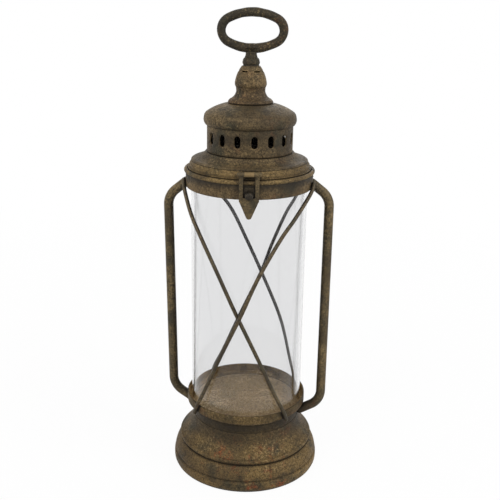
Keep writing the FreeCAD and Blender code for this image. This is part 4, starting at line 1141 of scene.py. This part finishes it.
@dataclass
class Cage:
    """Side tubes and guard wires. Sizes in millimetres, turns in degrees."""

    tube_radius: float = 4.5
    tube_reach: float = 75.5
    tube_bend: float = 18.5
    tube_top: float = 287.8
    tube_top_drop: float = 13.5
    tube_foot: float = 59.8
    tube_foot_rise: float = 10.4
    tube_foot_drop: float = 1.7
    tube_overlap: float = 0.4
    collar_radius: float = 59.0
    cup_radius: float = 55.3
    foot_turn: float = -11.0
    wire_radius: float = 1.8
    ride: float = 57.65
    outside: float = 60.85
    lift: float = 4.1
    wire_foot: float = 66.0
    wire_top: float = 291.0
    height_shares: tuple[float, ...] = (1.0, 0.965, 0.88, 0.8, 0.65, 0.5, 0.3, 0.13, 0.045, 0.0)
    spread_shares: tuple[float, ...] = (1.0, 1.0, 0.35, 0.0, 0.0, 0.0, 0.0, 0.1, 1.0, 1.0)
    lift_shares: tuple[float, ...] = (0.0, 0.0, 0.0, 0.0, 0.5, 1.0, 0.25, 0.0, 0.0, 0.0)

    def wire_turns(self) -> dict[str, tuple[float, ...]]:
        """Angle of each wire at its stations, from the collar down to the cup."""
        return {
            "guard_wire_front_left": (-84, -77, -64, -49, -27, -10.5, 10.5, 27.5, 36, 40),
            "guard_wire_front_right": (75, 66, 44.5, 29, 8.5, -5.2, -24.5, -42, -50, -54.5),
            "guard_wire_back_left": (244, 236, 211, 197, 180.5, 164.5, 141.5, 126, 120, 117),
            "guard_wire_back_right": (104, 112, 127, 139, 155, 167, 187, 205.5, 215.5, 219)}

    def tube_path(self, top: float) -> np.ndarray:
        """Middle line of a side tube, from the collar out, down and back in to the cup.

        Args:
            top: its turn at the collar.

        Returns:
            Points along the line.
        """
        foot = top + self.foot_turn
        return bent_path(np.array([
            around(self.collar_radius - self.tube_overlap, top, self.tube_top),
            around(self.tube_reach, top, self.tube_top - self.tube_top_drop),
            around(self.tube_reach, foot, self.tube_foot + self.tube_foot_rise),
            around(self.cup_radius, foot, self.tube_foot - self.tube_foot_drop)]), self.tube_bend)

    def wire_path(self, turns: Sequence[float], lift: float) -> np.ndarray:
        """Middle line of a guard wire, on the glass but out round the collar and the cup.

        Args:
            turns: its angle at each station.
            lift: how far it stands off where it crosses over another wire.

        Returns:
            Points along the line.
        """
        radius = self.ride + (self.outside - self.ride) * np.array(self.spread_shares) \
            + lift * np.array(self.lift_shares)
        heights = self.wire_foot + (self.wire_top - self.wire_foot) * np.array(self.height_shares)
        return smooth_path(around(radius, np.array(turns, float), heights))

    def build(self, shop: Workshop) -> None:
        """Make both tubes and the four wires."""
        for name, turn in (("side_tube_left", -90.0), ("side_tube_right", 90.0)):
            shape = swept(self.tube_path(turn), self.tube_radius, sides=28)
            shop.piece(name + "_bent", shape, Slot.WIRE, Body.LANTERN, [name])
        for name, turns in self.wire_turns().items():
            path = self.wire_path(turns, self.lift if name.endswith("right") else 0.0)
            shape = swept(path, self.wire_radius, sides=16)
            shop.piece(name + "_drawn", shape, Slot.WIRE, Body.LANTERN, [name], shop.finishes.drawn)


@dataclass
class Latch:
    """Hasp strap with its barrels, and the ball stud in its window. Sizes in millimetres."""

    strap_y: float = -61.55
    thickness: float = 1.25
    half_width: float = 8.75
    window_half: float = 5.2
    window_low: float = 286.4
    window_top: float = 306.6
    frame_points: int = 24
    frame_sides: int = 20
    square_power: float = 0.35
    tab_top: float = 284.9
    tip: float = 268.56
    tip_half: float = 1.7
    tip_share: float = 0.1
    tab_square_power: float = 0.3
    tab_thin_half: float = 1.2
    tab_levels: int = 60
    tab_sides: int = 28
    pillow: float = 0.3
    pillow_half: float = 9.0
    pin_level: float = 308.2
    barrel_radius: float = 2.05
    barrel_near: float = 4.7
    barrel_far: float = 8.7
    ball_level: float = 290.2
    ball_radius: float = 3.7
    ball_y: float = -65.4
    ball_neck: float = 1.9
    ball_root_y: float = -59.5
    ball_flat_from: float = 2.6
    ball_flat_share: float = 0.96
    ball_steps: int = 26
    ball_sides: int = 32

    def frame(self) -> Shape:
        """Window frame of the strap as a closed loop of a rounded section.

        The loop is a rectangle whose corners are mitred, and the section is a box with round
        edges: each of its points is (cos a, sin a) with both parts raised to a power under 1.
        """
        middle, half = (self.half_width + self.window_half) / 2, (self.half_width - self.window_half) / 2
        low, top = self.window_low - half / 3, self.window_top + half
        corners = np.array([[-middle, low], [middle, low], [middle, top], [-middle, top]])
        share = np.linspace(0, 1, self.frame_points, endpoint=False)[:, None]
        path = np.concatenate([start + (end - start) * share
                               for start, end in zip(corners, np.roll(corners, -1, axis=0))])
        on_side = np.abs(np.abs(path[:, 0]) - middle) < TINY
        on_end = (np.abs(path[:, 1] - low) < TINY) | (np.abs(path[:, 1] - top) < TINY)
        away = np.sign(path - np.array([0.0, (low + top) / 2])) * np.stack([on_side, on_end], -1)
        angle = np.linspace(0, FULL_TURN, self.frame_sides, endpoint=False)
        wide = squared(np.cos(angle), self.square_power) * half
        deep = squared(np.sin(angle), self.square_power) * self.thickness / 2
        spot = path[:, None, :] + away[:, None, :] * wide[None, :, None]
        points = np.stack(np.broadcast_arrays(spot[..., 0], self.strap_y + deep, spot[..., 1]), -1)
        return points.reshape(-1, 3) * MM, grid_faces(len(path), len(angle), True)

    def tab(self) -> Shape:
        """Pointed tab: each level's half width narrows to a round tip, and the section is pillowed.

        The half width is the straight taper from the top to the tip, rounded off by a root near the
        tip, and the section is a box with round edges that swells a little towards the front.
        """
        level = np.linspace(self.tab_top, self.tip, self.tab_levels)
        fall = (self.tab_top - level) / (self.tab_top - self.tip)
        in_tip = ((fall - (1 - self.tip_share)) / self.tip_share).clip(0, 1)
        width = (self.half_width * (1 - fall) + self.tip_half * fall) * np.sqrt((1 - in_tip ** 2).clip(0, 1))
        width = np.maximum(width, 2 * POLE)[:, None]
        angle = np.linspace(0, FULL_TURN, self.tab_sides, endpoint=False)
        x = width * squared(np.cos(angle), self.tab_square_power)
        deep = squared(np.sin(angle), self.square_power) * self.thickness / 2
        swell = np.cos((x / self.pillow_half).clip(-1, 1) * math.pi / 2) \
            * np.sin((fall * 2).clip(0, 1) * math.pi / 2)[:, None]
        y = self.strap_y + deep * np.minimum(width / self.tab_thin_half, 1.0) - self.pillow * swell
        rings = np.stack(np.broadcast_arrays(x, y, level[:, None]), -1)
        first, last = (np.broadcast_to(ring.mean(axis=0), (1, *ring.shape)) for ring in rings[[0, -1]])
        points = np.concatenate([first, rings, last])
        return points.reshape(-1, 3) * MM, grid_faces(len(points), len(angle))

    def ball(self) -> Shape:
        """Ball stud on a short neck, turned about a line along Y, with a small flat on its front."""
        steps = np.linspace(0, math.pi, self.ball_steps)
        radius = self.ball_radius * np.sin(steps)
        out = self.ball_y + self.ball_radius * np.cos(steps) \
            * np.where(steps > self.ball_flat_from, self.ball_flat_share, 1.0)
        keep = (radius > self.ball_neck) | (out < self.ball_y)
        radius, out = radius[keep], out[keep]
        radius = np.concatenate([[0.0, self.ball_neck, self.ball_neck], radius])[:, None]
        out = np.concatenate([[self.ball_root_y, self.ball_root_y, out[0]], out])[:, None]
        angle = np.linspace(0, FULL_TURN, self.ball_sides, endpoint=False)
        level = self.ball_level + radius * np.sin(angle)
        points = np.stack(np.broadcast_arrays(radius * np.cos(angle), out, level), axis=-1)
        return points.reshape(-1, 3) * MM, grid_faces(len(out), len(angle))

    def barrel(self, side: float) -> Shape:
        """Round barrel on the pin, on the side given by its sign."""
        reach = np.array([self.barrel_near, (self.barrel_near + self.barrel_far) / 2, self.barrel_far]) * side
        path = np.stack(np.broadcast_arrays(reach, self.strap_y, self.pin_level), axis=-1)
        return swept(path, self.barrel_radius, sides=24)

    def build(self, shop: Workshop) -> None:
        """Make the strap's frame, its tab, its barrels and the ball."""
        for name, shape, weld in (
                ("hasp_frame_worn", self.frame(), 0.0), ("hasp_tab_worn", self.tab(), 0.01 * MM),
                ("hasp_barrel_left", self.barrel(-1.0), 0.0), ("hasp_barrel_right", self.barrel(1.0), 0.0)):
            shop.piece(name, shape, Slot.WIRE, Body.HASP, ["hasp_plate"], weld=weld)
        shop.piece("latch_ball", self.ball(), Slot.DARK, Body.LANTERN, ["latch_stud"], weld=0.01 * MM)


@dataclass(frozen=True)
class Lamp:
    """Soft square lamp that faces the lantern's middle: place and size in metres, power in watts."""

    name: str
    spot: tuple[float, float, float]
    size: float
    power: float
    target: tuple[float, float, float] = (0.0, 0.0, 0.2)

    def build(self) -> None:
        """Hang the lamp."""
        light = bpy.data.lights.new(self.name, "AREA")
        light.size = self.size
        light.energy = self.power
        thing = bpy.data.objects.new(self.name, light)
        thing.location = self.spot
        thing.rotation_euler = (Vector(self.target) - Vector(self.spot)).to_track_quat("-Z", "Y").to_euler()
        bpy.context.scene.collection.objects.link(thing)


@dataclass
class Studio:
    """Camera, lamps, floor and world. The camera's place is in millimetres, its angles in degrees."""

    focal_pixels: float = 800.0
    frame_pixels: float = 500.0
    sensor: float = 36.0
    middle_x: float = 248.16
    middle_y: float = 250.5
    pitch: float = 17.70
    roll: float = 0.91
    distance: float = 729.88
    height: float = 453.77
    clip_end_m: float = 20.0
    world_strength: float = 0.40
    floor_half_m: float = 6.0
    floor_grey: float = 0.9
    fade_from_m: float = 0.2
    fade_to_m: float = 1.1
    glow_near: float = 0.95
    glow_far: float = 1.0
    lamps: tuple[Lamp, ...] = (
        Lamp("key_lamp", (-1.1, -1.5, 2.0), 1.2, 24.5), Lamp("fill_lamp", (1.7, -1.0, 1.3), 1.3, 27.0),
        Lamp("side_lamp", (-1.9, -0.6, 0.7), 1.0, 6.0), Lamp("back_lamp", (0.3, 1.9, 1.4), 1.2, 9.0))

    def camera(self) -> None:
        """Put the camera where the photograph was taken from."""
        pitch, roll = math.radians(self.pitch), math.radians(self.roll)
        ahead = Vector((0.0, math.cos(pitch), -math.sin(pitch)))
        right = Vector((1.0, 0.0, 0.0))
        up = right.cross(ahead)
        side = math.cos(roll) * right + math.sin(roll) * up
        top = -math.sin(roll) * right + math.cos(roll) * up
        lens = bpy.data.cameras.new("photo_camera")
        lens.sensor_width = self.sensor
        lens.lens = self.focal_pixels * self.sensor / self.frame_pixels
        lens.shift_x = (self.frame_pixels / 2 - self.middle_x) / self.frame_pixels
        lens.shift_y = (self.middle_y - self.frame_pixels / 2) / self.frame_pixels
        lens.clip_end = self.clip_end_m
        eye = bpy.data.objects.new("photo_camera", lens)
        spot = Vector((0.0, -self.distance, self.height)) * MM
        turn = Matrix((side, top, -ahead)).transposed()
        eye.matrix_world = Matrix.Translation(spot) @ turn.to_4x4()
        bpy.context.scene.collection.objects.link(eye)
        bpy.context.scene.camera = eye

    def seen(self, nodes: bpy.types.Nodes, links: bpy.types.NodeLinks) -> Socket:
        """One where a camera, mirror or glass ray looks, and 0 where light is gathered."""
        path = nodes.new("ShaderNodeLightPath")
        total = path.outputs["Is Camera Ray"]
        for output in ("Is Glossy Ray", "Is Transmission Ray"):
            node = nodes.new("ShaderNodeMath")
            node.operation = "MAXIMUM"
            links.new(total, node.inputs[0])
            links.new(path.outputs[output], node.inputs[1])
            total = node.outputs[0]
        return total

    def world(self) -> None:
        """Light the scene from all round, and show plain white behind it."""
        world = bpy.data.worlds.new("studio_world")
        bpy.context.scene.world = world
        world.use_nodes = True
        nodes, links = world.node_tree.nodes, world.node_tree.links
        soft, white = nodes["Background"], nodes.new("ShaderNodeBackground")
        mix = nodes.new("ShaderNodeMixShader")
        links.new(self.seen(nodes, links), mix.inputs[0])
        for number, (light, strength) in enumerate(((soft, self.world_strength), (white, 1.0)), start=1):
            light.inputs["Color"].default_value = (1.0, 1.0, 1.0, 1.0)
            light.inputs["Strength"].default_value = strength
            links.new(light.outputs[0], mix.inputs[number])
        links.new(mix.outputs[0], nodes["World Output"].inputs["Surface"])

    def floor(self) -> None:
        """Lay a white floor that keeps a faint shadow near the lantern and is plain white far off."""
        half = self.floor_half_m
        mesh = bpy.data.meshes.new("studio_floor")
        corners = [(-half, -half, 0), (half, -half, 0), (half, half, 0), (-half, half, 0)]
        mesh.from_pydata(corners, [], [(0, 1, 2, 3)])
        thing = bpy.data.objects.new("studio_floor", mesh)
        bpy.context.scene.collection.objects.link(thing)
        material = bpy.data.materials.new("studio_floor_white")
        material.use_nodes = True
        nodes, links = material.node_tree.nodes, material.node_tree.links
        shader, glow = nodes["Principled BSDF"], nodes.new("ShaderNodeEmission")
        shader.inputs["Base Color"].default_value = (self.floor_grey, self.floor_grey, self.floor_grey, 1.0)
        shader.inputs["Roughness"].default_value = 1.0
        shader.inputs["Specular IOR Level"].default_value = 0.0
        glow.inputs["Strength"].default_value = 1.0
        place, length = nodes.new("ShaderNodeTexCoord"), nodes.new("ShaderNodeVectorMath")
        length.operation = "LENGTH"
        away, share = nodes.new("ShaderNodeMapRange"), nodes.new("ShaderNodeMath")
        share.operation = "MULTIPLY"
        for name, value in (("From Min", self.fade_from_m), ("From Max", self.fade_to_m),
                            ("To Min", self.glow_near), ("To Max", self.glow_far)):
            away.inputs[name].default_value = value
        mix = nodes.new("ShaderNodeMixShader")
        for start, end in (
                (place.outputs["Object"], length.inputs[0]),
                (length.outputs["Value"], away.inputs["Value"]),
                (self.seen(nodes, links), share.inputs[0]),
                (away.outputs["Result"], share.inputs[1]),
                (share.outputs[0], mix.inputs[0]),
                (shader.outputs[0], mix.inputs[1]),
                (glow.outputs[0], mix.inputs[2]),
                (mix.outputs[0], nodes["Material Output"].inputs["Surface"])):
            links.new(start, end)
        mesh.materials.append(material)

    def build(self) -> None:
        """Set up the whole studio."""
        bpy.context.scene.view_settings.view_transform = "Standard"
        self.camera()
        self.world()
        self.floor()
        for lamp in self.lamps:
            lamp.build()


def main() -> None:
    """Build the studio and the lantern, sub-assembly by sub-assembly."""
    logging.basicConfig(level=logging.INFO)
    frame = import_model()
    Studio().build()
    finishes = Finishes()
    finishes.dress_nodes(frame)
    shop = Workshop(finishes)
    for part in (Base(), Chimney(), Lid(), RingHandle(), Cage(), Latch()):
        part.build(shop)


if __name__ == "__main__":
    main()
